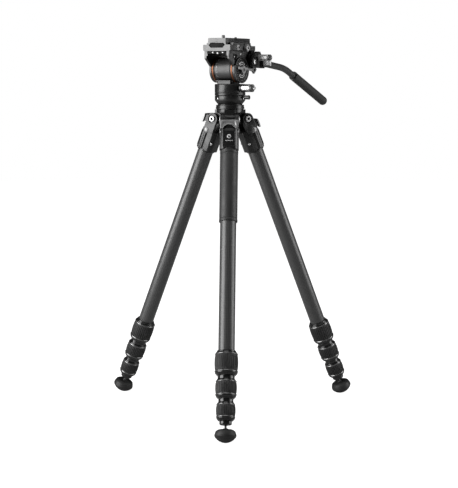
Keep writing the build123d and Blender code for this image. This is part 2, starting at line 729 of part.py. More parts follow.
# ---------------------------------------------------------------- plate clamp
def make_plate_clamp():
    """The plate clamp: a bed with a sloping trough, two undercut rails and a lower rear ledge."""
    middle, half = CLAMP_MIDDLE, CLAMP_HALF_WIDTH
    length = CLAMP_REAR - CLAMP_FRONT
    right_face = middle + half
    with BuildPart() as clamp:
        with BuildSketch(facing_head(CLAMP_REAR)):
            with BuildLine():
                Polyline(
                    (middle - half, CRADLE_TOP + 1.5),
                    (middle - half + 3, CRADLE_TOP),
                    (middle + half - 3, CRADLE_TOP),
                    (middle + half, CRADLE_TOP + 1.5),
                    (middle + half, CLAMP_TOP - 0.8),
                    (middle + half - 0.8, CLAMP_TOP),
                    (middle + TROUGH_HALF_TOP, CLAMP_TOP),
                    (middle + TROUGH_HALF_BOTTOM, TROUGH_BOTTOM),
                    (middle - TROUGH_HALF_BOTTOM, TROUGH_BOTTOM),
                    (middle - TROUGH_HALF_TOP, CLAMP_TOP),
                    (middle - half + 0.8, CLAMP_TOP),
                    (middle - half, CLAMP_TOP - 0.8),
                    close=True,
                )
            make_face()
        extrude(amount=length)
        for side in (-1, 1):
            with BuildSketch(facing_head(RAIL_REAR)):
                with BuildLine():
                    Polyline(
                        (middle + side * (PLATE_FLARE + 0.4), CLAMP_TOP - 1),
                        (middle + side * (half - 0.8), CLAMP_TOP - 1),
                        (middle + side * (half - 0.8), RAIL_TOP - 0.8),
                        (middle + side * (half - 1.6), RAIL_TOP),
                        (middle + side * (PLATE_HALF_WIDTH + 0.4), RAIL_TOP),
                        (middle + side * (PLATE_HALF_WIDTH + 0.4), PLATE_WAIST + 0.9),
                        (middle + side * (PLATE_FLARE + 0.4), PLATE_WAIST),
                        close=True,
                    )
                make_face()
            extrude(amount=RAIL_REAR - RAIL_FRONT)
        with BuildSketch(level(REAR_LEDGE)):
            with Locations((middle, (RAIL_REAR + CLAMP_REAR) / 2 + 0.5)):
                Rectangle(2 * half + 2, CLAMP_REAR - RAIL_REAR)
        extrude(amount=5, mode=Mode.SUBTRACT)
        with BuildSketch(level(REAR_LEDGE)):
            with Locations(LEVEL_PLACE):
                Circle(LEVEL_RADIUS + GLUE_GAP)
        extrude(amount=-3, mode=Mode.SUBTRACT)
        with BuildSketch(knob_plane(right_face - 9, PLATE_KNOB_PLACE)):
            Circle(KNOB_PIN + RUNNING_GAP)
        extrude(amount=10, mode=Mode.SUBTRACT)
        with BuildSketch(knob_plane(right_face - 8, BUTTON_PLACE)):
            Circle(BUTTON_RADIUS + SLIDE_GAP)
        extrude(amount=10, mode=Mode.SUBTRACT)
    return clamp


def make_plate_lock_knob():
    """A square clamp knob set on its corner, on a threaded pin."""
    face = CLAMP_MIDDLE + CLAMP_HALF_WIDTH
    with BuildPart() as knob:
        with BuildSketch(knob_plane(face - 8, PLATE_KNOB_PLACE)):
            Circle(KNOB_PIN)
        extrude(amount=10)
        with BuildSketch(knob_plane(face + 0.4, PLATE_KNOB_PLACE)):
            RectangleRounded(13, 13, 2, rotation=45)
        extrude(amount=5.6)
        chamfer(knob.faces().sort_by(Axis((0, 0, 0), outward(HEAD_TURN)))[-1].edges(), 0.8)
    return knob


def make_release_button():
    face = CLAMP_MIDDLE + CLAMP_HALF_WIDTH
    with BuildPart() as button:
        with BuildSketch(knob_plane(face - 4.5, BUTTON_PLACE)):
            Circle(BUTTON_RADIUS)
        extrude(amount=7)
        chamfer(button.faces().sort_by(Axis((0, 0, 0), outward(HEAD_TURN)))[-1].edges(), 0.6)
    return button


def make_bubble_level():
    with BuildPart() as vial:
        with BuildSketch(level(REAR_LEDGE - 3)):
            with Locations(LEVEL_PLACE):
                Circle(LEVEL_RADIUS)
        extrude(amount=3.8)
        chamfer(vial.edges().group_by(Axis.Z)[-1], 0.5)
    return vial


def make_quick_release_plate():
    """The sliding plate: a channel section with flared feet, a slot for the camera screw and a pin hole."""
    middle = CLAMP_MIDDLE
    with BuildPart() as plate:
        with BuildSketch(facing_head(PLATE_REAR)):
            with BuildLine():
                Polyline(
                    (middle - PLATE_FLARE, PLATE_BOTTOM),
                    (middle - PLATE_FLARE + 4.6, PLATE_BOTTOM),
                    (middle - PLATE_FLARE + 7, PLATE_WAIST + 1.2),
                    (middle + PLATE_FLARE - 7, PLATE_WAIST + 1.2),
                    (middle + PLATE_FLARE - 4.6, PLATE_BOTTOM),
                    (middle + PLATE_FLARE, PLATE_BOTTOM),
                    (middle + PLATE_FLARE, PLATE_BOTTOM + 0.8),
                    (middle + PLATE_HALF_WIDTH, PLATE_WAIST + 0.4),
                    (middle + PLATE_HALF_WIDTH, PLATE_TOP - 0.8),
                    (middle + PLATE_HALF_WIDTH - 0.8, PLATE_TOP),
                    (middle - PLATE_HALF_WIDTH + 0.8, PLATE_TOP),
                    (middle - PLATE_HALF_WIDTH, PLATE_TOP - 0.8),
                    (middle - PLATE_HALF_WIDTH, PLATE_WAIST + 0.4),
                    (middle - PLATE_FLARE, PLATE_BOTTOM + 0.8),
                    close=True,
                )
            make_face()
        extrude(amount=PLATE_REAR - PLATE_FRONT)
        with BuildSketch(level(PLATE_WAIST)):
            with Locations((middle, CAMERA_SCREW_PLACE)):
                Circle(9)
        extrude(amount=5, mode=Mode.SUBTRACT)
        with BuildSketch(level(PLATE_WAIST)):
            with Locations((middle, CAMERA_SCREW_PLACE)):
                Circle(CAMERA_SCREW_RADIUS + SLIDE_GAP)
            with Locations((middle, PIN_PLACE)):
                Circle(PIN_RADIUS + RUNNING_GAP)
        extrude(amount=20, mode=Mode.SUBTRACT)
    return plate


def make_camera_screw():
    """The captive camera screw: a slotted head under the plate, a thin neck and the thread above."""
    with BuildPart() as screw:
        with BuildSketch(level(PLATE_WAIST + 1.2)):
            with Locations((CLAMP_MIDDLE, CAMERA_SCREW_PLACE)):
                Circle(8)
        extrude(amount=3.4)
        with BuildSketch(level(PLATE_WAIST + 4)):
            with Locations((CLAMP_MIDDLE, CAMERA_SCREW_PLACE)):
                Circle(CAMERA_SCREW_NECK)
        extrude(amount=PLATE_TOP - PLATE_WAIST - 4)
        with BuildSketch(level(PLATE_TOP)):
            with Locations((CLAMP_MIDDLE, CAMERA_SCREW_PLACE)):
                Circle(CAMERA_SCREW_RADIUS)
        extrude(amount=CAMERA_SCREW_TOP - PLATE_TOP)
        chamfer(screw.edges().group_by(Axis.Z)[-1], 0.6)
        with BuildSketch(level(PLATE_WAIST + 1.2)):
            with Locations((CLAMP_MIDDLE, CAMERA_SCREW_PLACE)):
                Rectangle(12, 1.6)
        extrude(amount=1.4, mode=Mode.SUBTRACT)
    return screw


def make_locating_pin():
    with BuildPart() as pin:
        with BuildSketch(level(PLATE_TOP - 6)):
            with Locations((CLAMP_MIDDLE, PIN_PLACE)):
                Circle(PIN_RADIUS)
        extrude(amount=9)
        fillet(pin.edges().group_by(Axis.Z)[-1], 1.2)
    return pin


# ---------------------------------------------------------------- pan bar
def make_rosette_hub():
    """The fixed half of the bar rosette: a boss under the clamp's rear corner, with a small hook."""
    near, far = ROSETTE_FACES
    with BuildPart() as hub:
        with BuildSketch(beside_head(near)):
            with Locations(ROSETTE):
                Circle(ROSETTE_RADIUS)
            with Locations((ROSETTE[0], (ROSETTE[1] + CRADLE_TOP) / 2)):
                Rectangle(2 * ROSETTE_RADIUS, CRADLE_TOP - ROSETTE[1])
        extrude(amount=far - near)
        with BuildSketch(beside_head(near)):
            with Locations((60, 738)):
                Rectangle(12, 5)
        extrude(amount=far - near)
    return hub


def make_bar_clamp():
    """The moving half of the rosette, with the split block that grips the bar."""
    start = ROSETTE_FACES[1] + 0.3
    with BuildPart() as clamp:
        with BuildSketch(beside_head(start)):
            with Locations(ROSETTE):
                Circle(ROSETTE_RADIUS)
        extrude(amount=9.5)
        with BuildSketch(beside_head(start + 1)):
            with BuildLine():
                Polyline(
                    (22, 712),
                    (30, 708),
                    (65.5, 706.5),
                    (65.5, 725),
                    (52, 735),
                    (32, 735),
                    (22, 727),
                    close=True,
                )
            make_face()
        extrude(amount=8.5)
        with BuildSketch(beside_head(start + 9.5)):
            with Locations(CLAMP_COVER):
                RectangleRounded(16, 18, 3)
        extrude(amount=6.4)
        with BuildSketch(beside_head(start + 9.5)):
            with Locations(CLAMP_BOSS):
                Circle(CLAMP_BOSS_RADIUS)
        extrude(amount=1.2)
        with BuildSketch(Plane(bar_plane().from_local_coords(Vector(*BAR_START, 0)), z_dir=first_run_way())):
            Circle(BAR_RADIUS + GLUE_GAP)
        extrude(amount=30, mode=Mode.SUBTRACT)
        with BuildSketch(beside_head(start + 1)):
            with Locations(ROSETTE):
                Circle(KNOB_PIN + RUNNING_GAP)
        extrude(amount=12, mode=Mode.SUBTRACT)
    return clamp


def make_bar_clamp_knob():
    """The bar's locking knob: a turned barrel with an end cap and one wing."""
    start = ROSETTE_FACES[1] + 0.3 + 9.5 + 0.4
    with BuildPart() as knob:
        with BuildSketch(knob_plane(start - 8, ROSETTE)):
            Circle(KNOB_PIN)
        extrude(amount=10)
        with BuildSketch(knob_plane(start, ROSETTE)):
            Circle(BARREL_RADIUS)
        extrude(amount=BARREL_LENGTH)
        with BuildSketch(knob_plane(start + BARREL_LENGTH, ROSETTE)):
            Circle(BARREL_RADIUS - 0.2)
        extrude(amount=5)
        with BuildSketch(knob_plane(start + BARREL_LENGTH - 9.5, ROSETTE)):
            with Locations((0, -11)):
                RectangleRounded(7, 13, 2)
        extrude(amount=13)
        chamfer(knob.faces().sort_by(Axis((0, 0, 0), outward(HEAD_TURN)))[-1].edges(), 0.6)
    return knob


def bar_plane():
    """The upright plane that the pan bar lies in: x to the rear, y up."""
    return beside_head(BAR_SIDE)


def first_run_way():
    """The direction of the bar's first run, from the clamp to the bend."""
    return outward(HEAD_TURN + 90) * cos(radians(BAR_SLOPE)) - UP * sin(radians(BAR_SLOPE))


def bar_point(distance):
    """A point of the drooping part of the bar, at a distance from the corner of its two runs."""
    return (
        BAR_CORNER[0] + distance * cos(radians(BAR_DROOP)),
        BAR_CORNER[1] - distance * sin(radians(BAR_DROOP)),
    )


def bar_run(distance):
    """A plane square to the drooping part of the bar, with its normal towards the grip's end."""
    rear, height = bar_point(distance)
    way = outward(HEAD_TURN + 90) * cos(radians(BAR_DROOP)) - UP * sin(radians(BAR_DROOP))
    centre = outward(HEAD_TURN) * BAR_SIDE + outward(HEAD_TURN + 90) * rear + UP * height
    return Plane(centre, x_dir=outward(HEAD_TURN), z_dir=way)


def make_pan_bar():
    with BuildPart() as bar:
        with BuildLine(bar_plane()) as path:
            FilletPolyline(BAR_START, BAR_CORNER, bar_point(GRIP_START + GRIP_LENGTH - 14), radius=BAR_BEND)
        with BuildSketch(Plane(path.line @ 0, z_dir=path.line % 0)):
            Circle(BAR_RADIUS)
        sweep()
    return bar


def make_bar_grip():
    with BuildPart() as grip:
        with BuildSketch(bar_run(GRIP_START)):
            Circle(GRIP_RADIUS)
        extrude(amount=GRIP_LENGTH)
        rims = grip.edges().filter_by(GeomType.CIRCLE).sort_by(Axis.Z)
        fillet(rims[0], 7.5)
        fillet(rims[-1], 1.5)
        with BuildSketch(bar_run(GRIP_START - 2)):
            Circle(BAR_RADIUS + GLUE_GAP)
        extrude(amount=GRIP_LENGTH - 11, mode=Mode.SUBTRACT)
    return grip


def main():
    os.makedirs("parts", exist_ok=True)
    for name, azimuth in LEGS.items():
        make_leg(name, azimuth)
    save(make_sleeve(LEGS["front"]), "front_grip_sleeve")
    save(make_spider(), "crown_spider")
    save(make_hinge_bolts(), "hinge_bolts")
    save(make_top_disc(), "top_disc")
    save(make_mount_screw(), "mount_screw")
    save(make_pan_base(), "pan_base")
    save(make_pan_housing(), "pan_housing")
    save(make_pan_lock_knob(), "pan_lock_knob")
    save(make_base_lock_knob(), "base_lock_knob")
    save(make_tilt_housing(), "tilt_housing")
    save(make_accent_rings(), "accent_rings")
    save(make_tilt_shaft(), "tilt_shaft")
    save(make_tilt_cradle(), "tilt_cradle")
    save(make_drag_dial(), "drag_dial")
    save(make_tilt_lock_lever(), "tilt_lock_lever")
    save(make_plate_clamp(), "plate_clamp")
    save(make_plate_lock_knob(), "plate_lock_knob")
    save(make_release_button(), "release_button")
    save(make_bubble_level(), "bubble_level")
    save(make_quick_release_plate(), "quick_release_plate")
    save(make_camera_screw(), "camera_screw")
    save(make_locating_pin(), "locating_pin")
    save(make_rosette_hub(), "rosette_hub")
    save(make_bar_clamp(), "bar_clamp")
    save(make_bar_clamp_knob(), "bar_clamp_knob")
    save(make_pan_bar(), "pan_bar")
    save(make_bar_grip(), "bar_grip")


main()
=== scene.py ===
import json
import math

import bmesh
import bpy
from mathutils import Matrix, Vector


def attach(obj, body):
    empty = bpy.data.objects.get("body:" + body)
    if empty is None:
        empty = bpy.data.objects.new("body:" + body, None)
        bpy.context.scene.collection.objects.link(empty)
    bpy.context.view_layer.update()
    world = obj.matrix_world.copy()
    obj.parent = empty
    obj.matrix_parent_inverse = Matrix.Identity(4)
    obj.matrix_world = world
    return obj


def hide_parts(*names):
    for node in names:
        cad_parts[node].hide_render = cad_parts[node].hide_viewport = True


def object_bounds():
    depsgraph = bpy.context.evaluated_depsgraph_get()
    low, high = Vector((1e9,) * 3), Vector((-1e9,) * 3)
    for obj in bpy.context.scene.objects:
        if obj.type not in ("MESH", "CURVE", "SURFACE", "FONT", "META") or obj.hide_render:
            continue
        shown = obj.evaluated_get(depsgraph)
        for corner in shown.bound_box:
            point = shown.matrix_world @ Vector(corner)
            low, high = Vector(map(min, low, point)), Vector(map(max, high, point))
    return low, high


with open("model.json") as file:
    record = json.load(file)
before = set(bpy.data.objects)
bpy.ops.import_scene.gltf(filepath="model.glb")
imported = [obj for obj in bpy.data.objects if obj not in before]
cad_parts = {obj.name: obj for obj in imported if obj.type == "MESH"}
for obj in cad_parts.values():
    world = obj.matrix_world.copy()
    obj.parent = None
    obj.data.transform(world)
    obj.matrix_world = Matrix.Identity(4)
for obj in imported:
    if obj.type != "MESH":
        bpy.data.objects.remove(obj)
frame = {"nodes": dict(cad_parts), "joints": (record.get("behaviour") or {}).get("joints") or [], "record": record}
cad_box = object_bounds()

# A tripod with a fluid head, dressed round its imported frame. Everything is placed in metres; outlines
# are written in millimetres and MM turns them into metres where they become meshes.
MM = 0.001
UP = Vector((0, 0, 1))
LEGS = ("front", "right", "left")
NODES = frame["nodes"]
JOINTS = {joint["name"]: joint for joint in frame["joints"]}
BODY_OF = {node: body for body, nodes in frame["record"]["behaviour"]["bodies"].items() for node in nodes}


# ---------------------------------------------------------------- places
def place(origin, x_way, z_way):
    """A local frame: its z runs along z_way and its x as near x_way as it can."""
    z = Vector(z_way).normalized()
    y = z.cross(Vector(x_way)).normalized()
    made = Matrix((y.cross(z), y, z)).transposed().to_4x4()
    made.translation = Vector(origin)
    return made


def leg_frame(leg):
    """x outward from the leg, y along the hinge pin, z up the leg, from the hinge."""
    fold = JOINTS[f"{leg}_leg_fold"]
    down = Vector(JOINTS[f"{leg}_section_2_slide"]["axis"])
    return place(fold["pos_m"], Vector(fold["axis"]).cross(down), -down)


def side_frame(here, side, point=(0, 0, 0)):
    """A frame at a point of a leg, in millimetres, that faces out of its side: x outward from the leg."""
    return place(here @ (Vector(point) * MM), here.col[0].to_3d(), here.col[1].to_3d() * side)


ACROSS = Vector(JOINTS["tilt"]["axis"])
REAR = UP.cross(ACROSS)
HEAD = place((0, 0, 0), ACROSS, UP)


def beside(across, rear, height):
    """A frame on the head that faces along the tilt shaft: x to the rear, y up."""
    return place((ACROSS * across + REAR * rear + UP * height) * MM, REAR, ACROSS)


def facing(across, rear, height):
    """A frame on the head that faces its front: x along the tilt shaft, y up."""
    return place((ACROSS * across + REAR * rear + UP * height) * MM, ACROSS, -REAR)


def level(across, rear, height):
    """A frame on the head that faces up: x along the tilt shaft, y to the rear."""
    return place((ACROSS * across + REAR * rear + UP * height) * MM, ACROSS, UP)


def moved(here, x=0.0, y=0.0, z=0.0):
    return here @ Matrix.Translation(Vector((x, y, z)) * MM)


def corners(node, here):
    """The lowest and highest corner of a CAD node in a local frame, in millimetres."""
    back = here.inverted()
    points = [(back @ v.co) / MM for v in NODES[node].data.vertices]
    low = Vector([min(p[i] for p in points) for i in range(3)])
    high = Vector([max(p[i] for p in points) for i in range(3)])
    return low, high


def turned(node, here):
    """Inner radius, outer radius, lowest and highest end of a turned CAD node, in millimetres."""
    back = here.inverted()
    points = [(back @ v.co) / MM for v in NODES[node].data.vertices]
    radii = [math.hypot(p.x, p.y) for p in points]
    return min(radii), max(radii), min(p.z for p in points), max(p.z for p in points)


# ---------------------------------------------------------------- materials
class Paint:
    """One procedural material: it collects the nodes that colour, roughen and emboss a surface."""

    def __init__(self, name, slot, metallic=0.0, specular=0.5, coat=0.0, coat_roughness=0.2):
        self.material = bpy.data.materials.new(name)
        self.material.use_nodes = True
        self.material["slot"] = slot
        self.tree = self.material.node_tree
        self.shader = self.tree.nodes["Principled BSDF"]
        self.shader.inputs["Metallic"].default_value = metallic
        self.shader.inputs["Specular IOR Level"].default_value = specular
        self.shader.inputs["Coat Weight"].default_value = coat
        self.shader.inputs["Coat Roughness"].default_value = coat_roughness
        self.coordinates = self.tree.nodes.new("ShaderNodeTexCoord").outputs["Object"]

    def node(self, kind, *sources, **settings):
        """A node with its settings made, and its first inputs linked or set."""
        made = self.tree.nodes.new(kind)
        for key, value in settings.items():
            setattr(made, key, value)
        for number, source in enumerate(sources):
            if isinstance(source, bpy.types.NodeSocket):
                self.tree.links.new(source, made.inputs[number])
            elif source is not None:
                made.inputs[number].default_value = source
        return made

    def math(self, operation, *sources):
        return self.node("ShaderNodeMath", *sources, operation=operation).outputs[0]

    def grain(self, scale, detail=3.0, stretch=(1, 1, 1)):
        """Noise whose grains are about one over scale metres across."""
        mapped = self.node("ShaderNodeMapping", self.coordinates)
        mapped.inputs["Scale"].default_value = stretch
        noise = self.node("ShaderNodeTexNoise", mapped.outputs[0])
        noise.inputs["Scale"].default_value = scale
        noise.inputs["Detail"].default_value = detail
        return noise.outputs["Fac"]

    def spread(self, source, low, high, start=0.3, end=0.7):
        """The source's range from start to end, spread from low to high."""
        made = self.node("ShaderNodeMapRange", source)
        for key, value in (("From Min", start), ("From Max", end), ("To Min", low), ("To Max", high)):
            made.inputs[key].default_value = value
        return made.outputs[0]

    def between(self, factor, first, second):
        made = self.tree.nodes.new("ShaderNodeMix")
        made.data_type = "RGBA"
        self.tree.links.new(factor, made.inputs["Factor"])
        for key, colour in (("A", first), ("B", second)):
            socket = [s for s in made.inputs if s.name == key and s.type == "RGBA"][0]
            if isinstance(colour, bpy.types.NodeSocket):
                self.tree.links.new(colour, socket)
            else:
                socket.default_value = (*colour, 1)
        return [s for s in made.outputs if s.type == "RGBA"][0]

    def edges(self, radius, reach=0.25):
        """One along edges that curve within the radius, zero on flat stretches."""
        bevel = self.node("ShaderNodeBevel", samples=4)
        bevel.inputs["Radius"].default_value = radius
        flat = self.node("ShaderNodeNewGeometry").outputs["Normal"]
        dot = self.node("ShaderNodeVectorMath", bevel.outputs[0], flat, operation="DOT_PRODUCT")
        return self.spread(dot.outputs["Value"], 1.0, 0.0, 1.0 - reach, 0.995)

    def colour(self, source):
        self.tree.links.new(source, self.shader.inputs["Base Color"])

    def roughness(self, source):
        self.tree.links.new(source, self.shader.inputs["Roughness"])

    def emboss(self, height, depth, strength=1.0):
        """Bump of that depth, in metres, from a height of zero to one."""
        made = self.node("ShaderNodeBump")
        made.inputs["Strength"].default_value = strength
        made.inputs["Distance"].default_value = depth
        self.tree.links.new(height, made.inputs["Height"])
        self.tree.links.new(made.outputs[0], self.shader.inputs["Normal"])


def grey(value):
    """A colour as it is, or the grey of a number."""
    return value if isinstance(value, tuple) else (value, value, value)


def metal_paint(name, slot, dark, light, rough, edge_wear_and_highlight, metallic=0.0, specular=0.5, depth=0.00002):
    """A blasted and anodised or painted metal: fine grain, cloudy sheen, and lighter edges that are edge wear and
    a painted edge highlight.
    """
    paint = Paint(name, slot, metallic, specular)
    fine = paint.grain(2600, 2.0)
    cloud = paint.grain(90, 4.0)
    base = paint.between(cloud, grey(dark), grey(light))
    # Lighter colour along the edges: edge wear and a painted edge highlight.
    paint.colour(paint.between(paint.edges(0.0005), base, grey(edge_wear_and_highlight)))
    paint.roughness(paint.spread(cloud, rough - 0.05, rough + 0.06))
    paint.emboss(fine, depth)
    return paint.material


def turned_paint(name, slot, dark, light, rough):
    """A lathe-turned metal: fine rings round the piece's own z axis."""
    paint = Paint(name, slot, metallic=1.0)
    rings = paint.grain(160, 5.0, (0.15, 0.15, 22.0))
    cloud = paint.grain(110, 3.0)
    paint.colour(paint.between(paint.spread(rings, 0, 1), dark, light))
    paint.roughness(paint.spread(cloud, rough - 0.05, rough + 0.07))
    paint.emboss(rings, 0.000012)
    return paint.material


def carbon_paint(name, slot, radius, strand, dark, light):
    """Woven carbon under satin resin: strands that cross at an angle round a tube along z."""
    paint = Paint(name, slot, 0.0, 0.5, coat=0.25, coat_roughness=0.28)
    parts = paint.node("ShaderNodeSeparateXYZ", paint.coordinates)
    angle = paint.math("ARCTAN2", parts.outputs[1], parts.outputs[0])
    turns = round(2 * math.pi * radius / strand)
    round_way = paint.math("MULTIPLY", angle, turns / 2)
    along = paint.math("MULTIPLY", parts.outputs[2], math.pi / strand)
    right = paint.math("SINE", paint.math("ADD", round_way, along))
    left = paint.math("SINE", paint.math("SUBTRACT", round_way, along))
    weave = paint.spread(paint.math("MULTIPLY", right, left), 0, 1, -0.35, 0.35)
    fibres = paint.grain(900, 3.0, (1, 1, 0.25))
    cloud = paint.grain(30, 3.0)
    mixed = paint.between(weave, dark, light)
    paint.colour(paint.between(paint.spread(fibres, 0, 0.5), mixed, light))
    paint.roughness(paint.spread(paint.math("ADD", weave, cloud), 0.34, 0.46, 0.3, 1.7))
    paint.emboss(weave, 0.00003)
    return paint.material


def rubber_paint(name, slot, dark, light, rough, grain=1700, depth=0.00006):
    """Moulded rubber: a fine leathery grain, and lighter along its edges as handling dust and a painted edge
    highlight.
    """
    paint = Paint(name, slot, 0.0, 0.4)
    fine = paint.grain(grain, 4.0)
    cloud = paint.grain(45, 4.0)
    # grey(0.05) along the edges: handling dust and a painted edge highlight.
    paint.colour(paint.between(paint.edges(0.0007), paint.between(cloud, dark, light), grey(0.05)))
    paint.roughness(paint.spread(cloud, rough - 0.06, rough + 0.08))
    paint.emboss(fine, depth)
    return paint.material


def vial_paint():
    paint = Paint("vial_liquid", "vial", 0.0, 0.5, coat=1.0, coat_roughness=0.03)
    cloud = paint.grain(300, 2.0)
    paint.colour(paint.between(cloud, (0.30, 0.42, 0.05), (0.46, 0.60, 0.10)))
    paint.roughness(paint.spread(cloud, 0.08, 0.14))
    return paint.material


BLACK = metal_paint("black_anodised", "black_metal", 0.006, 0.010, 0.31, 0.04)
SATIN = metal_paint("black_satin", "black_metal", 0.007, 0.011, 0.33, 0.06, specular=0.85)
GLOSS = metal_paint("black_polished", "black_metal", 0.006, 0.010, 0.15, 0.08, depth=0.000006)
MATT = metal_paint("black_matt", "black_metal", 0.004, 0.007, 0.6, 0.02, specular=0.12)
LABEL = metal_paint("dark_grey_face", "black_metal", 0.018, 0.024, 0.40, 0.05)
GREY = metal_paint("grey_satin", "grey_metal", 0.20, 0.27, 0.42, 0.5, metallic=0.6)
DARK_GREY = metal_paint("dark_grey_paint", "grey_metal", 0.055, 0.075, 0.36, 0.24, metallic=0.4)
TUBE_GREY = metal_paint("dark_grey_satin", "dark_tube", 0.030, 0.042, 0.36, 0.09, metallic=0.2)
SILVER = metal_paint("silver_satin", "bright_metal", 0.52, 0.64, 0.34, 0.8, metallic=0.5)
RING = metal_paint("polished_ring", "grey_metal", 0.16, 0.22, 0.22, 0.4, metallic=0.8)
BRIGHT = turned_paint("turned_bright", "bright_metal", grey(0.55), grey(0.68), 0.26)
ORANGE = metal_paint(
    "copper_orange",
    "accent_metal",
    dark=(0.15, 0.055, 0.026),
    light=(0.19, 0.072, 0.034),
    rough=0.36,
    edge_wear_and_highlight=(0.4, 0.2, 0.11),
    metallic=0.75,
)
CARBON = carbon_paint("woven_carbon", "carbon_tube", 0.0155, 0.0032, grey(0.022), grey(0.052))
RUBBER = rubber_paint("moulded_rubber", "rubber", grey(0.009), grey(0.014), 0.55)
SLEEVE = rubber_paint("soft_sleeve", "rubber", grey(0.020), grey(0.026), 0.50, 2400, 0.00004)
GRIP = rubber_paint("grip_rubber", "rubber", grey(0.016), grey(0.024), 0.62, 1300, 0.00012)
VIAL = vial_paint()


# ---------------------------------------------------------------- meshes
SHARP_ANGLE = 34
WELD_DISTANCE = 1e-7


def add(name, mesh, here, material, node, stands_for=(), smooth=SHARP_ANGLE):
    """Puts a finished mesh on the body of a CAD node, as one named piece."""
    mesh.materials.clear()
    mesh.materials.append(material)
    mesh.shade_smooth()
    mesh.set_sharp_from_angle(angle=math.radians(smooth))
    made = bpy.data.objects.new(name, mesh)
    bpy.context.scene.collection.objects.link(made)
    made.matrix_world = here
    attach(made, BODY_OF[node])
    if stands_for:
        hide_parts(*stands_for)
    return made


def soften(made, width):
    """Rounds a piece's sharp edges, after welding what its file holds apart."""
    weld = made.modifiers.new("weld", "WELD")
    weld.merge_threshold = 0.000003
    bevel = made.modifiers.new("round_edges", "BEVEL")
    bevel.width = width * MM
    bevel.segments = 2
    bevel.limit_method = "ANGLE"
    bevel.angle_limit = math.radians(SHARP_ANGLE)
    bevel.use_clamp_overlap = True
    bevel.harden_normals = True


def rounded(outline, radius, closed=False, steps=3):
    """The outline with its corners rounded, by less where an edge is short."""
    made = []
    count = len(outline)
    for i, point in enumerate(outline):
        here = Vector(point)
        if not closed and i in (0, count - 1):
            made.append(here)
            continue
        before, after = Vector(outline[i - 1]) - here, Vector(outline[(i + 1) % count]) - here
        reach = min(radius, 0.45 * before.length, 0.45 * after.length)
        start, end = here + before.normalized() * reach, here + after.normalized() * reach
        for step in range(steps + 1):
            share = step / steps
            made.append(start * (1 - share) ** 2 + here * 2 * share * (1 - share) + end * share**2)
    return [tuple(p) for p in made]


def finished(shape, name):
    """The mesh of a drawn shape, with its faces turned outward."""
    bmesh.ops.recalc_face_normals(shape, faces=shape.faces)
    mesh = bpy.data.meshes.new(name)
    shape.to_mesh(mesh)
    shape.free()
    return mesh


def join_loops(shape, loops, closed=False):
    """Faces between each loop of corners and the next; a closed run joins its last loop to its first."""
    for first, second in zip(loops, loops[1:] + loops[:1] if closed else loops[1:]):
        for i, corner in enumerate(first):
            after = (i + 1) % len(first)
            shape.faces.new((corner, first[after], second[after], second[i]))


def lathe_mesh(outline, steps, closed, radius_at=None):
    """A mesh turned from (radius, height) points; radius_at changes a radius by its angle."""
    shape = bmesh.new()
    rows = []
    for number, (radius, height) in enumerate(outline):
        row = []
        for step in range(steps):
            angle = 2 * math.pi * step / steps
            size = radius if radius_at is None else radius_at(number, radius, angle)
            row.append(shape.verts.new((size * math.cos(angle) * MM, size * math.sin(angle) * MM,
                height * MM)))
        rows.append(row)
    join_loops(shape, rows, closed)
    bmesh.ops.remove_doubles(shape, verts=shape.verts, dist=WELD_DISTANCE)
    return finished(shape, "turned")


def lathe(name, outline, here, material, on, stands_for=(), closed=False, corner=0.3, steps=96, smooth=50):
    """A turned piece. An open outline starts and ends on the axis; a closed one is a ring's section."""
    outline = rounded(outline, corner, closed)
    return add(name, lathe_mesh(outline, steps, closed), here, material, on, stands_for, smooth)


def plate_mesh(outlines, thickness, edge):
    """A flat plate with rounded edges; the first outline is its rim and the others are holes."""
    curve = bpy.data.curves.new("outline", "CURVE")
    curve.dimensions = "2D"
    curve.fill_mode = "BOTH"
    for outline in outlines:
        spline = curve.splines.new("POLY")
        spline.points.add(len(outline) - 1)
        for point, (x, y) in zip(spline.points, outline):
            point.co = (x * MM, y * MM, 0, 1)
        spline.use_cyclic_u = True
    edge = min(edge, thickness * 0.45)
    curve.extrude = (thickness / 2 - edge) * MM
    curve.bevel_depth = edge * MM
    curve.offset = -edge * MM
    curve.bevel_resolution = 2
    holder = bpy.data.objects.new("outline", curve)
    bpy.context.scene.collection.objects.link(holder)
    bpy.context.view_layer.update()
    mesh = bpy.data.meshes.new_from_object(holder.evaluated_get(bpy.context.evaluated_depsgraph_get()))
    bpy.data.objects.remove(holder)
    shape = bmesh.new()
    shape.from_mesh(mesh)
    bmesh.ops.remove_doubles(shape, verts=shape.verts, dist=WELD_DISTANCE)
    bmesh.ops.translate(shape, verts=shape.verts, vec=(0, 0, thickness / 2 * MM))
    return finished(shape, "plate")


def plate(name, outlines, thickness, here, material, on, stands_for=(), edge=0.3):
    """A flat piece that grows along the local z from its own plane."""
    return add(name, plate_mesh(outlines, thickness, edge), here, material, on, stands_for)


def circle(radius, x=0.0, y=0.0, steps=48):
    turns = [2 * math.pi * step / steps for step in range(steps)]
    return [(x + radius * math.cos(a), y + radius * math.sin(a)) for a in turns]


def rectangle(width, height, corner, x=0.0, y=0.0):
    half, tall = width / 2, height / 2
    points = [(x - half, y - tall), (x + half, y - tall), (x + half, y + tall), (x - half, y + tall)]
    return rounded(points, corner, closed=True, steps=6)


def arc(x, y, radius, start, end, steps=12):
    """Points of an arc, from one angle to another in degrees."""
    angles = [math.radians(start + (end - start) * step / steps) for step in range(steps + 1)]
    return [(x + radius * math.cos(a), y + radius * math.sin(a)) for a in angles]


def hexagon(radius):
    return circle(radius, steps=6)


def long_axis(node):
    """The middle of a long CAD node and the way it runs, downward."""
    points = [v.co for v in NODES[node].data.vertices]
    middle = sum(points, Vector()) / len(points)
    way = Vector((0.3, 0.5, -0.3))
    for _ in range(30):
        way = sum(((p - middle) * (p - middle).dot(way) for p in points), Vector()).normalized()
    return middle, way if way.z < 0 else -way


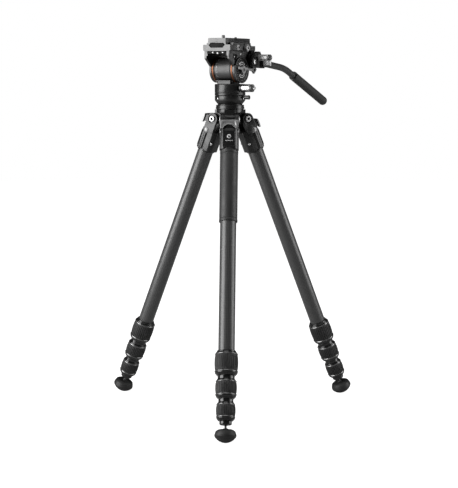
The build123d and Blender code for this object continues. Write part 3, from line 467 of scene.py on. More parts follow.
def band(name, radius, thick, start, end, low, high, here, material, on, steps=40):
    """A curved plate round the local z axis, between two angles in degrees and two heights."""
    shape = bmesh.new()
    rings = []
    for step in range(steps + 1):
        angle = math.radians(start + (end - start) * step / steps)
        way = Vector((math.cos(angle), math.sin(angle), 0))
        sides = [way * radius, way * (radius + thick)]
        section = zip((*sides, *sides[::-1]), (low, low, high, high))
        rings.append([shape.verts.new((p + UP * h) * MM) for p, h in section])
    join_loops(shape, rings)
    shape.faces.new(rings[0])
    shape.faces.new(rings[-1])
    add(name, finished(shape, "band"), here, material, on)


def socket_screw(name, radius, height, here, material, on):
    """A domed screw head with a hexagonal socket, sitting on the local plane."""
    outline = rounded([(0, height), (radius * 0.45, height), (radius, height * 0.55), (radius, 0), (0, 0)],
        0.35)
    head = lathe_mesh(outline, 32, False)
    add(name, head, here, material, on, smooth=50)
    socket_place = moved(here, z=height - 0.04)
    plate(f"{name}_socket", [hexagon(radius * 0.48)], 0.12, socket_place, MATT, on, edge=0.02)


def dress(node, material, edge=0.0):
    """Gives a CAD node that stays its finish, and rounds its edges."""
    made = NODES[node]
    made.data.materials.clear()
    made.data.materials.append(material)
    for polygon in made.data.polygons:
        polygon.material_index = 0
    if edge:
        soften(made, edge)


# ---------------------------------------------------------------- legs
def tubes(leg, here):
    for number in (1, 2, 3, 4):
        node = f"{leg}_tube_{number}"
        inner, outer, bottom, top = turned(node, here)
        outline = [(inner, bottom), (inner, top), (outer, top), (outer, bottom)]
        lathe(f"{node}_carbon", outline, here, CARBON, node, (node,), closed=True, corner=0.2, steps=128)


def sleeve(here):
    """The soft grip on the front leg, with a beaded lip at each end."""
    inner, outer, bottom, top = turned("front_grip_sleeve", here)
    lip, lip_depth = 5.0, 0.9
    outline = [(inner, bottom), (inner, top), (outer, top), (outer, top - lip)]
    outline += [(outer - lip_depth, top - lip - 0.6), (outer - lip_depth, top - lip - 1.4),
                (outer - 0.3, top - lip - 2)]
    outline += [(outer - 0.3, bottom + lip + 2), (outer - lip_depth, bottom + lip + 1.4)]
    outline += [(outer - lip_depth, bottom + lip + 0.6), (outer, bottom + lip), (outer, bottom)]
    lathe("front_grip_sleeve_soft", outline, here, SLEEVE, "front_grip_sleeve", ("front_grip_sleeve",),
          True, 0.6, 128)


RIBS = 34
RIB_SAMPLES = 8
RIB_SHAPE = (0, 0, 0, 0, 0.15, 0.8, 1, 0.8)
RIB_DEPTH = 1.1


def lock(leg, here, number):
    """A twist collar: a neck, a polished ring at each end and a ribbed rubber band between them."""
    node = f"{leg}_lock_{number}"
    _, outer, bottom, top = turned(node, here)
    bore = turned(f"{leg}_tube_{number}", here)[1] + 0.3
    lip = turned(f"{leg}_tube_{number + 1}", here)[1] + 0.3
    seat = outer - 2.9
    ring_end, foot_ring = top - 8.0, bottom + 9.4
    neck_top = top + (0.0 if number == 1 else 3.6)
    outline = [(bore, neck_top), (outer - 5.0, neck_top), (outer - 4.4, neck_top - 0.6),
               (outer - 4.4, top - 2.4)]
    outline += [(outer - 3.0, top - 3.0), (outer - 2.0, ring_end + 2.6), (seat, ring_end + 2.4)]
    outline += [(seat, foot_ring - 2.6), (outer - 0.9, foot_ring - 2.8), (outer - 0.9, foot_ring - 4.4)]
    outline += [(outer - 2.0, bottom + 2.6), (outer - 3.4, bottom + 2.0), (outer - 4.2, bottom),
                (lip, bottom)]
    for word, start in (("top", ring_end), ("bottom", foot_ring - 2.6)):
        swell = 0.5 if word == "bottom" else 0.0
        ring = [(seat - 0.1, start), (outer - 0.9 + swell, start), (outer - 0.5 + swell, start + 1.0)]
        ring += [(outer - 1.3 + swell, start + 2.4), (seat - 0.1, start + 2.4)]
        lathe(f"{node}_ring_{word}", ring, here, RING, node, closed=True, corner=0.5, steps=112)
    lathe(f"{node}_collar", outline, here, GLOSS, node, (node,), closed=True, corner=0.5, steps=112)

    rows, row_count, height = [], 14, ring_end - foot_ring - 0.3
    for row in range(row_count + 1):
        share = row / row_count
        bulge = 1 - (2 * share - 1) ** 2
        edge = min(1.0, min(share, 1 - share) * 7)
        rows.append((outer - 1.5 + 1.5 * bulge**0.6 * 1.0, ring_end - 0.15 - height * share, edge))
    skin = [(seat + 0.02, rows[0][1]), *[(r, z) for r, z, _ in rows], (seat + 0.02, rows[-1][1])]
    depths = [0, *[edge for _, _, edge in rows], 0]

    def ribbed(index, radius, angle):
        sample = round(angle / (2 * math.pi) * RIBS * RIB_SAMPLES) % RIB_SAMPLES
        return radius - RIB_DEPTH * depths[index] * RIB_SHAPE[sample]

    mesh = lathe_mesh(skin, RIBS * RIB_SAMPLES, True, ribbed)
    add(f"{node}_ribbed_grip", mesh, here, RUBBER, node, smooth=60)


PLUG_LENGTH = 14
FERRULE_LENGTH = 7.6
STUD_RADIUS = 2.3


def foot(leg, here):
    """The domed rubber foot, its dark stud and the ferrule that closes the last tube."""
    node, stem = f"{leg}_foot", f"{leg}_foot_stem"
    _, outer, bottom, top = turned(node, here)
    middle, half = (bottom + top) / 2, (top - bottom) / 2
    dome = (outer**2 + half**2) / (2 * half)
    spread = math.asin(outer / dome)
    outline = [(0, top - 1.2), (5.2, top - 1.2), (6.0, top), (13.4, top), (15.0, top - 0.6)]
    outline += [(outer - 2.6, middle + 9.4), (outer - 1.0, middle + 5.2), (outer - 0.15, middle + 1.6)]
    outline += [(outer - 0.15, middle + 0.2), (outer - 0.8, middle - 0.3), (outer - 0.8, middle - 0.8)]
    steps = 22
    for step in range(1, steps + 1):
        angle = spread * (1 - step / steps) * 0.985
        groove = 0.5 if step in (5, 9, 13, 17) else 0.0
        outline.append(((dome - groove) * math.sin(angle),
                        bottom + dome - (dome - groove) * math.cos(angle)))
    dome_mesh = lathe_mesh(rounded(outline, 0.5), 96, False)
    dome_mesh.transform(here)
    add(f"{node}_rubber", dome_mesh, Matrix.Identity(4), RUBBER, node, (node,), smooth=50)

    _, ferrule, _, plug_top = turned(stem, here)
    ferrule_top = plug_top - PLUG_LENGTH
    ferrule_bottom = ferrule_top - FERRULE_LENGTH
    outline = [(0, ferrule_top), (ferrule - 0.6, ferrule_top), (ferrule, ferrule_top - 0.8),
               (ferrule, ferrule_bottom + 1.6)]
    outline += [(ferrule - 2.0, ferrule_bottom), (4.2, ferrule_bottom), (4.2, ferrule_bottom - 1.0),
                (0, ferrule_bottom - 1.0)]
    lathe(f"{stem}_ferrule", outline, here, GLOSS, stem, (stem,), corner=0.5)
    outline = [(0, ferrule_bottom - 1.0), (STUD_RADIUS, ferrule_bottom - 1.0), (STUD_RADIUS, top + 2.6)]
    outline += [(4.8, top + 2.2), (4.8, top - 1.0), (0, top - 1.0)]
    lathe(f"{stem}_stud", outline, here, DARK_GREY, stem, corner=0.4, steps=64)


def yoke(leg, here):
    """The fork at the top of a leg: a casting with a raised frame, a rib down each side and the bolt ears."""
    node = f"{leg}_yoke"
    low, high = corners(node, here)
    inside, outside, width = low.x, high.x, high.y
    ear, ear_slot, recess, rim_depth = 12.0, 11.4, 9.2, 3.4
    rib_x, rib_reach, rib_top = 4.0, 5.6, -26.5
    body_top, body_bottom = -24.0, low.z
    section = [(inside + 1, -width + 9), (inside + 9, -width + 2), (rib_x - rib_reach, -width + 2)]
    rib_low = arc(rib_x, -width + 4.8, 4.8, 216, 324, 10)
    section += rib_low + [(rib_x + rib_reach, -width + 2), (outside - 4.5, -width + 2.8),
        (outside - 0.6, -width + 7.5)]
    section += [(outside - 0.6, width - 7.5), (outside - 4.5, width - 2.8), (rib_x + rib_reach, width - 2)]
    section += [(x, -y) for x, y in reversed(rib_low)]
    section += [(rib_x - rib_reach, width - 2), (inside + 9, width - 2), (inside + 1, width - 9)]
    section = rounded(section, 1.6, closed=True)
    tall = body_top - body_bottom
    plate(f"{node}_casting", [section], tall, moved(here, z=body_bottom), BLACK, node, (node,), edge=0.8)

    for side, word in ((-1, "left"), (1, "right")):
        facing_out = side_frame(here, side, (0, side * ear_slot, 0))
        # In this frame x is outward from the leg, z out of the ear and y up or down the leg.
        up = 1 if (facing_out.col[1].to_3d() @ here.col[2].to_3d()) > 0 else -1
        rim = arc(0, 0, ear, 0, 180, 24) + [(-ear, -29.0), (ear, -29.0)]
        rim = [(x, y * up) for x, y in rim]
        thickness = width - 0.9 - ear_slot
        plate(f"{node}_ear_{word}", [rim], thickness - rim_depth, facing_out, BLACK, node, edge=0.5)
        rim_place = moved(facing_out, z=thickness - rim_depth)
        plate(f"{node}_ear_rim_{word}", [rim, circle(recess)], rim_depth, rim_place, BLACK, node, edge=0.5)
        collar = moved(facing_out, z=thickness - 0.9)
        ring = [(recess - 0.1, 0), (recess - 0.1, 1.0), (recess + 0.8, 1.0), (recess + 0.8, 0)]
        lathe(f"{node}_ear_ring_{word}", ring, collar, GLOSS, node, closed=True, corner=0.3, steps=64)

        # The grey dome and dark grey rib are lighter than the black casting: a painted highlight of the side lamp
        # on the yoke's rounded corner, laid over real rounded shapes.
        shape = bmesh.new()
        bmesh.ops.create_uvsphere(shape, u_segments=48, v_segments=24, radius=1)
        for v in shape.verts:
            v.co = Vector((v.co.x * 7.4, v.co.y * 7.4, v.co.z * 4.2)) * MM
        dome = side_frame(here, side, (4.4, side * (width - 3.4), rib_top))
        add(f"{node}_rib_dome_{word}", finished(shape, "dome"), dome, GREY, node)
        rib = rounded([(-4.6, 0), (-4.2, 2.6), (-2.0, 4.3), (2.0, 4.3), (4.2, 2.6), (4.6, 0)], 1.6, True)
        rib = [(x, side * (width - 4.6 + y)) for x, y in rib]
        mesh = plate_mesh([rib], rib_top - body_bottom - 1.5, 0.6)
        add(f"{node}_rib_{word}", mesh, moved(here, x=4.2, z=body_bottom + 1.5), DARK_GREY, node)

        screw_here = side_frame(here, side, (-16.5, side * (width - 3.6), -50.0))
        socket_screw(f"{node}_side_screw_{word}", 2.3, 1.3, screw_here, SILVER, node)

    front = place(here @ (Vector((outside - 0.7, 0, -47.0)) * MM), here.col[1].to_3d(), here.col[0].to_3d())
    plate(f"{node}_frame", [rectangle(26, 38, 5), rectangle(21.5, 31, 3.5)], 0.7, front, BLACK, node,
          edge=0.5)
    plate(f"{node}_panel", [rectangle(21.3, 30.8, 3.4)], 0.3, front, MATT, node, edge=0.2)
    socket_screw(f"{node}_panel_screw", 4.2, 0.9, moved(front, y=4.6, z=0.2), SILVER, node)
    plate(f"{node}_panel_line", [rectangle(15.0, 1.4, 0.6)], 0.3, moved(front, y=-4.4, z=0.25), SILVER,
          node, edge=0.08)
    _, tube, _, _ = turned(f"{leg}_tube_1", here)
    skirt = [(tube + 0.1, body_bottom - 2.6), (tube + 2.2, body_bottom - 2.6), (width - 1.4, body_bottom),
             (width - 1.4, body_bottom + 2)]
    lathe(f"{node}_hem", skirt + [(tube + 0.1, body_bottom + 2)], here, BLACK, node, closed=True,
          corner=0.5)


def stop_tab(leg, here):
    """The sliding angle stop: a lip with two raised wings, a dished middle and an arch below."""
    node = f"{leg}_stop_tab"
    low, high = corners(node, here)
    half, top, bottom = high.y, high.z, low.z
    back, face = high.x - 4.0, high.x - 0.1
    columns, rows = 48, 24
    arch_centre, arch_radius = bottom - 5.5, 13.5
    shape = bmesh.new()
    loops = []
    for i in range(columns + 1):
        y = -half + 2 * half * i / columns
        side = abs(y) / half
        hem = bottom
        if abs(y) < arch_radius:
            hem = max(bottom, arch_centre + math.sqrt(arch_radius**2 - y**2))
        crest = top - 0.8 * side**4
        front_column, back_column = [], []
        for j in range(rows + 1):
            share = j / rows
            z = hem + (crest - hem) * share
            tall = (z - bottom) / (top - bottom)
            wing = max(0.0, min(1.0, (side - 0.52 - 0.16 * (1 - tall)) / 0.22))
            wing = wing * wing * (3 - 2 * wing)
            roll = math.sin(math.pi * min(1.0, 0.12 + 0.88 * tall)) ** 0.5 if tall < 1 else 0.0
            dish = 1.7 * (1 - wing) * math.sin(math.pi * tall) ** 1.2
            lip = 1.2 * math.exp(-(((z - hem) / 1.6) ** 2)) if abs(y) < arch_radius else 0.0
            x = back + 1.4 + (face - back - 1.4) * (0.35 + 0.65 * roll) - dish + lip - 1.0 * side**6
            front_column.append(shape.verts.new(Vector((x, y, z)) * MM))
            back_column.append(shape.verts.new(Vector((back, y, z)) * MM))
        loops.append(front_column + back_column[::-1])
    join_loops(shape, loops)
    for loop in (loops[0], loops[-1]):
        for j in range(rows):
            shape.faces.new((loop[j], loop[j + 1], loop[-j - 2], loop[-j - 1]))
    made = add(f"{node}_grip", finished(shape, "stop"), here, GREY, node, (node,), smooth=40)
    soften(made, 0.5)
    slide = [(0, -half + 2.6), (5.3, -half + 2.6), (5.3, half - 2.6), (0, half - 2.6)]
    slide = [(low.x + x + 0.1, y) for x, y in slide]
    block = plate_mesh([rounded(slide, 0.8, True)], top - bottom - 3.6, 0.5)
    add(f"{node}_slider", block, moved(here, z=bottom + 3.2), BLACK, node)


def hinge_bolt(leg, here):
    """The bolt that the leg turns on: a shank and a bright socketed head at each end."""
    reach = corners(f"{leg}_yoke", here)[1].y
    shank = side_frame(here, 1)
    stands_for = ("hinge_bolts",) if leg == "front" else ()
    outline = [(0, 3.2 - reach), (4, 3.2 - reach), (4, reach - 3.2), (0, reach - 3.2)]
    lathe(f"{leg}_hinge_bolt_shank", outline, shank, BRIGHT, "hinge_bolts", stands_for, corner=0.2,
          steps=48)
    for side, word in ((-1, "left"), (1, "right")):
        seat = moved(side_frame(here, side), z=reach - 3.5)
        outline = [(2.9, 1.2), (2.9, 4.6), (5.2, 4.6), (6.3, 3.6), (6.3, 0), (0, 0), (0, 1.2)]
        lathe(f"{leg}_hinge_bolt_head_{word}", outline, seat, SILVER, "hinge_bolts", corner=0.3, steps=64)
        plate(f"{leg}_hinge_bolt_socket_{word}", [hexagon(2.85)], 0.3, moved(seat, z=1.21), MATT,
              "hinge_bolts", edge=0.05)
        washer = [(6.6, 0), (6.6, 1.0), (8.8, 1.0), (8.8, 0)]
        lathe(f"{leg}_hinge_washer_{word}", washer, seat, GLOSS, "hinge_bolts", closed=True, corner=0.3,
              steps=64)


def leg_pieces(leg):
    here = leg_frame(leg)
    tubes(leg, here)
    for number in (1, 2, 3):
        lock(leg, here, number)
    foot(leg, here)
    yoke(leg, here)
    hinge_bolt(leg, here)
    stop_tab(leg, here)


for leg_name in LEGS:
    leg_pieces(leg_name)
sleeve(leg_frame("front"))


# ---------------------------------------------------------------- head
for kept in ("crown_spider", "top_disc", "pan_base", "pan_housing", "tilt_housing"):
    dress(kept, BLACK, 0.35)
for kept in ("tilt_cradle", "plate_clamp", "quick_release_plate"):
    dress(kept, SATIN, 0.35)
for kept in ("rosette_hub", "bar_clamp"):
    dress(kept, BLACK, 0.3)
for kept in ("mount_screw", "tilt_shaft"):
    dress(kept, BRIGHT, 0.25)
for kept in ("camera_screw", "locating_pin"):
    dress(kept, DARK_GREY, 0.25)
dress("release_button", SILVER, 0.25)
dress("tilt_lock_lever", GREY, 0.4)
dress("plate_lock_knob", GREY, 0.4)
dress("accent_rings", ORANGE, 0.3)
dress("pan_bar", TUBE_GREY)
dress("bar_grip", GRIP)


def joint_place(name):
    """Where a joint of the head sits: along the shaft, to the rear and up, in millimetres."""
    spot = Vector(JOINTS[name]["pos_m"]) / MM
    return spot.dot(ACROSS), spot.dot(REAR), spot.z


def drum():
    """The drum's blank label, its row of index marks and a bead at each end."""
    on = "tilt_housing"
    _, _, tilt_height = joint_place("tilt")
    low, high = corners("accent_rings", HEAD)
    left, right = low.x + 4.0, high.x - 4.0
    radius = (high.z - low.z) / 2 - 1.5
    here = beside(left, 0, tilt_height)
    width = right - left
    band("drum_label", radius - 0.1, 0.45, 118, 222, 3.2, width - 3.2, here, LABEL, on)
    for number in range(13):
        angle = 128 + number * 7
        tall = 4.4 if number % 3 == 0 else 2.6
        band(f"drum_mark_{number + 1}", radius + 0.3, 0.16, angle, angle + 1.1, 5.0, 5.0 + tall, here,
             GREY, on, 2)
    for edge, word in ((0.25, "left"), (width - 0.75, "right")):
        band(f"drum_bead_{word}", radius - 0.1, 0.5, 0, 360, edge, edge + 0.5, here, GLOSS, on, 96)


def dial():
    """The drag dial: a knurled rim, a sunk ring with two curved windows and a stepped hub."""
    on = "drag_dial"
    _, _, height = joint_place("drag_dial_turn")
    low, high = corners(on, HEAD)
    here = beside(low.x, 0, height)
    rim, thick = (high.z - low.z) / 2, high.x - low.x

    def knurled(index, radius, angle):
        return radius - (0.35 if index in range(8, 24) and math.cos(angle * 90) > 0.2 else 0.0)

    outline = [(5.05, 0), (rim - 0.8, 0), (rim, 0.7), (rim, thick - 0.7), (rim - 0.8, thick),
               (rim - 3.4, thick)]
    outline += [(rim - 4.4, thick - 1.3), (rim - 8.0, thick - 1.6), (rim - 8.4, thick - 0.5),
                (rim - 10.0, thick - 0.5)]
    outline += [(rim - 10.5, thick - 2.2), (9.4, thick - 2.4), (9.0, thick - 0.3), (5.05, thick - 0.3)]
    mesh = lathe_mesh(rounded(outline, 0.35, True), 360, True, knurled)
    add("drag_dial_body", mesh, here, BLACK, on, (on,), smooth=40)
    veil = [(24, 735), (44, 741), (50, 716), (40, 700), (24, 704)]
    plate("hub_web", [rounded(veil, 2.0, True)], 4.0, beside(26.5, 0, 0), MATT, "rosette_hub")
    floor_level = moved(here, z=thick - 2.3)
    # The silver frames round the two windows are raised shapes whose bright colour paints the curved highlights
    # inside the dial's dark recess.
    for start, word in ((48, "top"), (228, "bottom")):
        end = start + 84
        window = arc(0, 0, 16.2, start, end) + arc(0, 0, 10.8, end, start)
        sill = arc(0, 0, 14.6, start + 5, end - 5) + arc(0, 0, 12.3, end - 5, start + 5)
        plate(f"drag_dial_window_{word}", [window, sill], 1.1, floor_level, SILVER, on, edge=0.15)
        plate(f"drag_dial_scale_{word}", [sill], 0.3, floor_level, MATT, on, edge=0.05)
    for number in range(24):
        angle = math.radians(number * 15)
        mark = moved(here @ Matrix.Rotation(angle, 4, "Z"), x=rim - 6.1, z=thick - 1.5)
        plate(f"drag_dial_mark_{number + 1}", [rectangle(1.8, 0.45, 0.1)], 0.25, mark, GREY, on, edge=0.05)


def square_on_corner(half):
    return [(-half, 0), (0, -half), (half, 0), (0, half)]


def lever():
    """The faceted handle and the hub cap of the tilt lock."""
    on = "tilt_lock_lever"
    _, high = corners(on, HEAD)
    _, _, height = joint_place("tilt_lever_swing")
    handle = beside(high.x - 0.2, high.y - 8.77, height)
    diamond = square_on_corner(7.7)
    small = [(x * 0.62, y * 0.62) for x, y in diamond]
    plate("tilt_lever_rim", [rounded(diamond, 1.0, True), rounded(small, 0.6, True)], 0.7, handle, GREY, on)
    plate("tilt_lever_inlay", [rounded(small, 0.6, True)], 0.45, handle, MATT, on, edge=0.1)
    socket_screw("tilt_lever_screw", 3.6, 1.2, beside(high.x - 0.6, 0, height), DARK_GREY, on)


def barrel(name, here, radius, collar, length, cap, nose, node):
    """A turned barrel knob: a black collar, a bright barrel, a dark dished cap and a short nose."""
    if collar:
        outline = [(0, 0), (radius + 0.1, 0), (radius + 0.1, collar), (radius - 0.8, collar + 0.3),
                   (0, collar + 0.3)]
        lathe(f"{name}_collar", outline, here, GLOSS, node, corner=0.5, steps=72)
    outline = [(0, collar), (radius - 0.6, collar), (radius, collar + 0.6), (radius, length - 1.8),
               (radius - 0.4, length - 1.5)]
    outline += [(radius - 0.4, length - 1.1), (radius, length - 0.8), (radius, length), (0, length)]
    lathe(f"{name}_barrel", outline, here, BRIGHT if collar else SILVER, node, (node,), corner=0.3,
          steps=96)
    end = length + cap
    outline = [(0, length), (radius - 0.1, length), (radius - 0.1, end - 1.0), (radius - 1.1, end),
               (radius - 2.2, end)]
    outline += [(radius - 2.6, end - 0.8), (0, end - 0.8)]
    lathe(f"{name}_cap", outline, here, DARK_GREY, node, corner=0.3, steps=96)
    ring = [(radius - 2.5, end - 0.9), (radius - 2.5, end - 0.2), (radius - 1.9, end - 0.2),
            (radius - 1.9, end - 0.9)]
    lathe(f"{name}_cap_ring", ring, here, BRIGHT, node, closed=True, corner=0.1, steps=72)
    if nose:
        outline = [(0, end - 1), (2.9, end - 1), (2.9, end + nose - 1.0), (2.2, end + nose),
                   (0, end + nose)]
        lathe(f"{name}_nose", outline, here, SILVER, node, corner=0.5, steps=48)


def pan_knobs():
    small_knob = "base_lock_knob"
    tip = corners("pan_lock_knob", HEAD)[1].x
    _, rear, height = joint_place("pan_knob_turn")
    start, radius, collar, length, cap = 31.9, 7.9, 5.6, 23.6, 5.5
    barrel("pan_lock", beside(start, rear, height), radius, collar, length, cap,
           tip - start - length - cap, "pan_lock_knob")
    low, high = corners(small_knob, HEAD)
    _, rear, height = joint_place("base_knob_turn")
    radius, length = (high.z - low.z) / 2, high.x - low.x
    here = beside(low.x, rear, height)
    outline = [(0, 0), (1.9, 0), (1.9, length - 11.4), (radius - 0.4, length - 11.2),
               (radius - 0.4, length - 3)]
    outline += [(radius - 0.8, length - 2.6), (radius, length - 2.2), (radius, length - 0.5),
                (radius - 0.6, length), (0, length)]
    lathe("base_lock_knob_grip", outline, here, DARK_GREY, small_knob, (small_knob,), corner=0.3, steps=72)
    disc = [(0, length - 0.4), (radius - 1.2, length - 0.4), (radius - 1.2, length + 0.05),
            (0, length + 0.05)]
    lathe("base_lock_knob_end", disc, here, GLOSS, small_knob, corner=0.1)


def pan_screws():
    """Three set screws round the pan base."""
    radius = corners("pan_base", HEAD)[1].x
    for number, azimuth in enumerate((-145, -25, 95)):
        way = Vector((math.cos(math.radians(azimuth)), math.sin(math.radians(azimuth)), 0))
        here = place(way * (radius - 0.35) * MM + UP * 0.6455, UP, way)
        socket_screw(f"pan_base_screw_{number + 1}", 2.1, 0.9, here, BRIGHT, "pan_base")


def domed_pin(name, here, radius, rim, shoulder, top):
    """A small bright pin on the cradle; shoulder is where its dome meets its slope, as (radius, height)."""
    outline = [(0, top), shoulder, (radius, rim), (radius, 0), (0, 0)]
    lathe(name, outline, here, SILVER, "tilt_cradle", steps=32)


def cradle_details():
    """The screws under the platform's front, the pin on the cheek and the caps over the shaft."""
    on = "tilt_cradle"
    low, high = corners(on, HEAD)
    _, _, tilt_height = joint_place("tilt")
    for number, (across, height) in enumerate(((-13.0, 738.2), (-1.5, 736.9), (10.5, 738.2))):
        here = facing(across, low.y - 0.5, height)
        domed_pin(f"cradle_front_screw_{number + 1}", here, 2.2, 0.3, (1.3, 1.2), 1.5)
    # A dull black strip between the cheeks on the cradle's front: painted shade for the shadowed recess there.
    strip = facing((low.x + high.x) / 2 - 0.2, low.y + 0.1, 738.1)
    plate("cradle_front_painted_shade", [rectangle(45.5, 5.2, 0.5)], 0.6, strip, MATT, on, edge=0.15)
    domed_pin("cradle_cheek_pin", beside(high.x - 0.05, -1, 735), 2.4, 0.3, (1.4, 1.2), 1.5)
    pocket = [(-30.4, 728.8), (-21.3, 721.6), (-13.2, 733.0), (-30.4, 735.3)]
    floor_place = beside(high.x - 2.25, 0, 0)
    plate("cradle_pocket_floor", [rounded(pocket, 1.2, True)], 0.3, floor_place, MATT, on, edge=0.05)
    domed_pin("cradle_pocket_screw", beside(high.x - 2.0, -22.5, 729.6), 1.9, 0.2, (1.2, 1.0), 1.2)
    gusset = [(18, 690), (38, 712), (43, 729), (20, 712)]
    plate("cradle_rear_gusset", [rounded(gusset, 1.5, True)], 4.0, beside(high.x - 4.3, 0, 0), BLACK, on)
    left = place(beside(low.x, 0, tilt_height).translation, REAR, -ACROSS)
    outline = [(0, 0.9), (7.0, 0.9), (8.4, 0.4), (15.5, 0.3), (16.0, 0), (0, 0)]
    lathe("tilt_cap_left", outline, moved(left, z=-0.1), GLOSS, on, corner=0.3)
    socket_screw("tilt_cap_screw", 3.4, 0.5, moved(left, z=0.7), BRIGHT, on)


def clamp_details():
    """The button's ring, the square knob's inlay, the rail screws and the bubble level."""
    vial = "bubble_level"
    low, high = corners("plate_lock_knob", HEAD)
    _, rear, height = joint_place("plate_knob_turn")
    half = (high.z - low.z) / 2 - 2.6
    diamond = square_on_corner(half)
    small = [(x * 0.66, y * 0.66) for x, y in diamond]
    here = beside(high.x - 0.05, rear, height)
    plate("plate_knob_rim", [rounded(diamond, 1.4, True), rounded(small, 1.0, True)], 0.6, here, SILVER,
          "plate_lock_knob", edge=0.2)
    plate("plate_knob_inlay", [rounded(small, 1.0, True)], 0.25, here, BLACK, "plate_lock_knob", edge=0.08)
    low, high = corners("release_button", HEAD)
    middle = (low + high) / 2
    outline = [(0, 0), (3.1, 0), (3.1, 0.25), (1.6, 0.5), (0, 0.55)]
    lathe("release_button_centre", outline, beside(high.x - 0.05, middle.y, middle.z), GLOSS,
          "release_button", corner=0.2)
    ring = [(4.55, -0.4), (4.55, 1.0), (4.8, 1.3), (5.2, 1.3), (5.6, 0.9), (5.6, -0.4)]
    _, face = corners("plate_clamp", HEAD)
    lathe("release_button_ring", ring, beside(face.x, middle.y, middle.z), SILVER, "plate_clamp",
          closed=True, corner=0.3)
    for number, spot in enumerate((-30, -4, 24)):
        for side, word in ((-1, "left"), (1, "right")):
            across = (face.x - 0.8 - 5.0) if side > 0 else (-2 - face.x + 0.8 + 5.0)
            socket_screw(f"rail_screw_{word}_{number + 1}", 1.7, 0.5, level(across, spot, face.z - 0.03),
                         BRIGHT, "plate_clamp")
    low, high = corners(vial, HEAD)
    middle = (low + high) / 2
    radius = (high.x - low.x) / 2
    here = level(middle.x, middle.y, low.z)
    deep = high.z - low.z
    shell = [(0, 0), (radius, 0), (radius, deep - 0.5), (radius - 0.5, deep), (radius - 1.5, deep),
             (radius - 1.7, deep - 0.6), (0, deep - 0.6)]
    lathe("bubble_level_cup", shell, here, GLOSS, vial, (vial,), corner=0.2)
    dome = [(0, deep - 0.1), (1.6, deep - 0.12), (3.2, deep - 0.3), (radius - 1.75, deep - 0.55),
            (0, deep - 0.55)]
    lathe("bubble_level_liquid", dome, here, VIAL, vial, corner=0.1)
    mark = [(2.1, deep - 0.2), (2.1, deep - 0.02), (2.35, deep - 0.02), (2.35, deep - 0.2)]
    lathe("bubble_level_mark", mark, here, MATT, vial, closed=True, corner=0.03)


def front_painted_shade():
    """A dull black sheet on the sliding plate's front end, below its light block: painted shade over the shadowed
    trough and the gap under the plate.
    """
    front = corners("quick_release_plate", HEAD)[0].y
    trough = [(-18.6, 752.0), (-14.2, 747.8), (12.2, 747.8), (16.6, 752.0), (13.0, 755.6), (-15.0, 755.6)]
    # The sheet is painted shade, following the trough's outline.
    plate("plate_end_painted_shade", [rounded(trough, 0.6, True)], 0.3, facing(0, front + 0.1, 0), MATT,
          "quick_release_plate", edge=0.08)


def plate_details():
    """Grooves along the sliding plate's sides, the rubber on its top and the thread of its screw."""
    on = "quick_release_plate"
    low, high = corners(on, HEAD)
    length, middle = high.y - low.y, (high.y + low.y) / 2
    centre = (low.x + high.x) / 2
    half = high.x - centre - 1.6
    for side, word in ((-1, "left"), (1, "right")):
        for number, drop in enumerate((2.0, 4.2, 6.4, 8.6)):
            spot = (ACROSS * (centre + side * (half - 0.05)) + REAR * middle + UP * (high.z - drop)) * MM
            here = place(spot, REAR, ACROSS * side)
            plate(f"plate_rib_{word}_{number + 1}", [rectangle(length - 5, 1.15, 0.5)], 0.45, here, GLOSS,
                  on, edge=0.18)
    top = level(centre, middle, high.z - 0.05)
    hole_y = joint_place("camera_screw_turn")[1] - middle
    pad = rectangle(2 * half - 5.0, length - 7, 3)
    slot = rectangle(9.6, 30, 4.7, 0, hole_y + 4)
    pin_low, pin_high = corners("locating_pin", HEAD)
    pin = circle(3.4, 0, (pin_low.y + pin_high.y) / 2 - middle)
    plate("plate_top_rubber", [pad, slot, pin], 0.25, top, RUBBER, on, edge=0.08)
    for number in range(-5, 6):
        for side in (-1, 1):
            strip = moved(top, x=side * (half / 2 + 1.0), y=number * 7.4, z=0.2)
            plate(f"plate_top_rib_{number + 6}_{side + 2}", [rectangle(half - 7.5, 2.2, 0.8)], 0.25, strip,
                  RUBBER, on, edge=0.08)
    low, high = corners("camera_screw", HEAD)
    across, rear, _ = joint_place("camera_screw_turn")
    for number in range(4):
        ring = [(3.0, 0), (3.32, 0.45), (3.0, 0.9)]
        lathe(f"camera_screw_thread_{number + 1}", ring, level(across, rear, high.z - 5.2 + number * 1.15),
              BRIGHT, "camera_screw", closed=True, corner=0.05, steps=48)


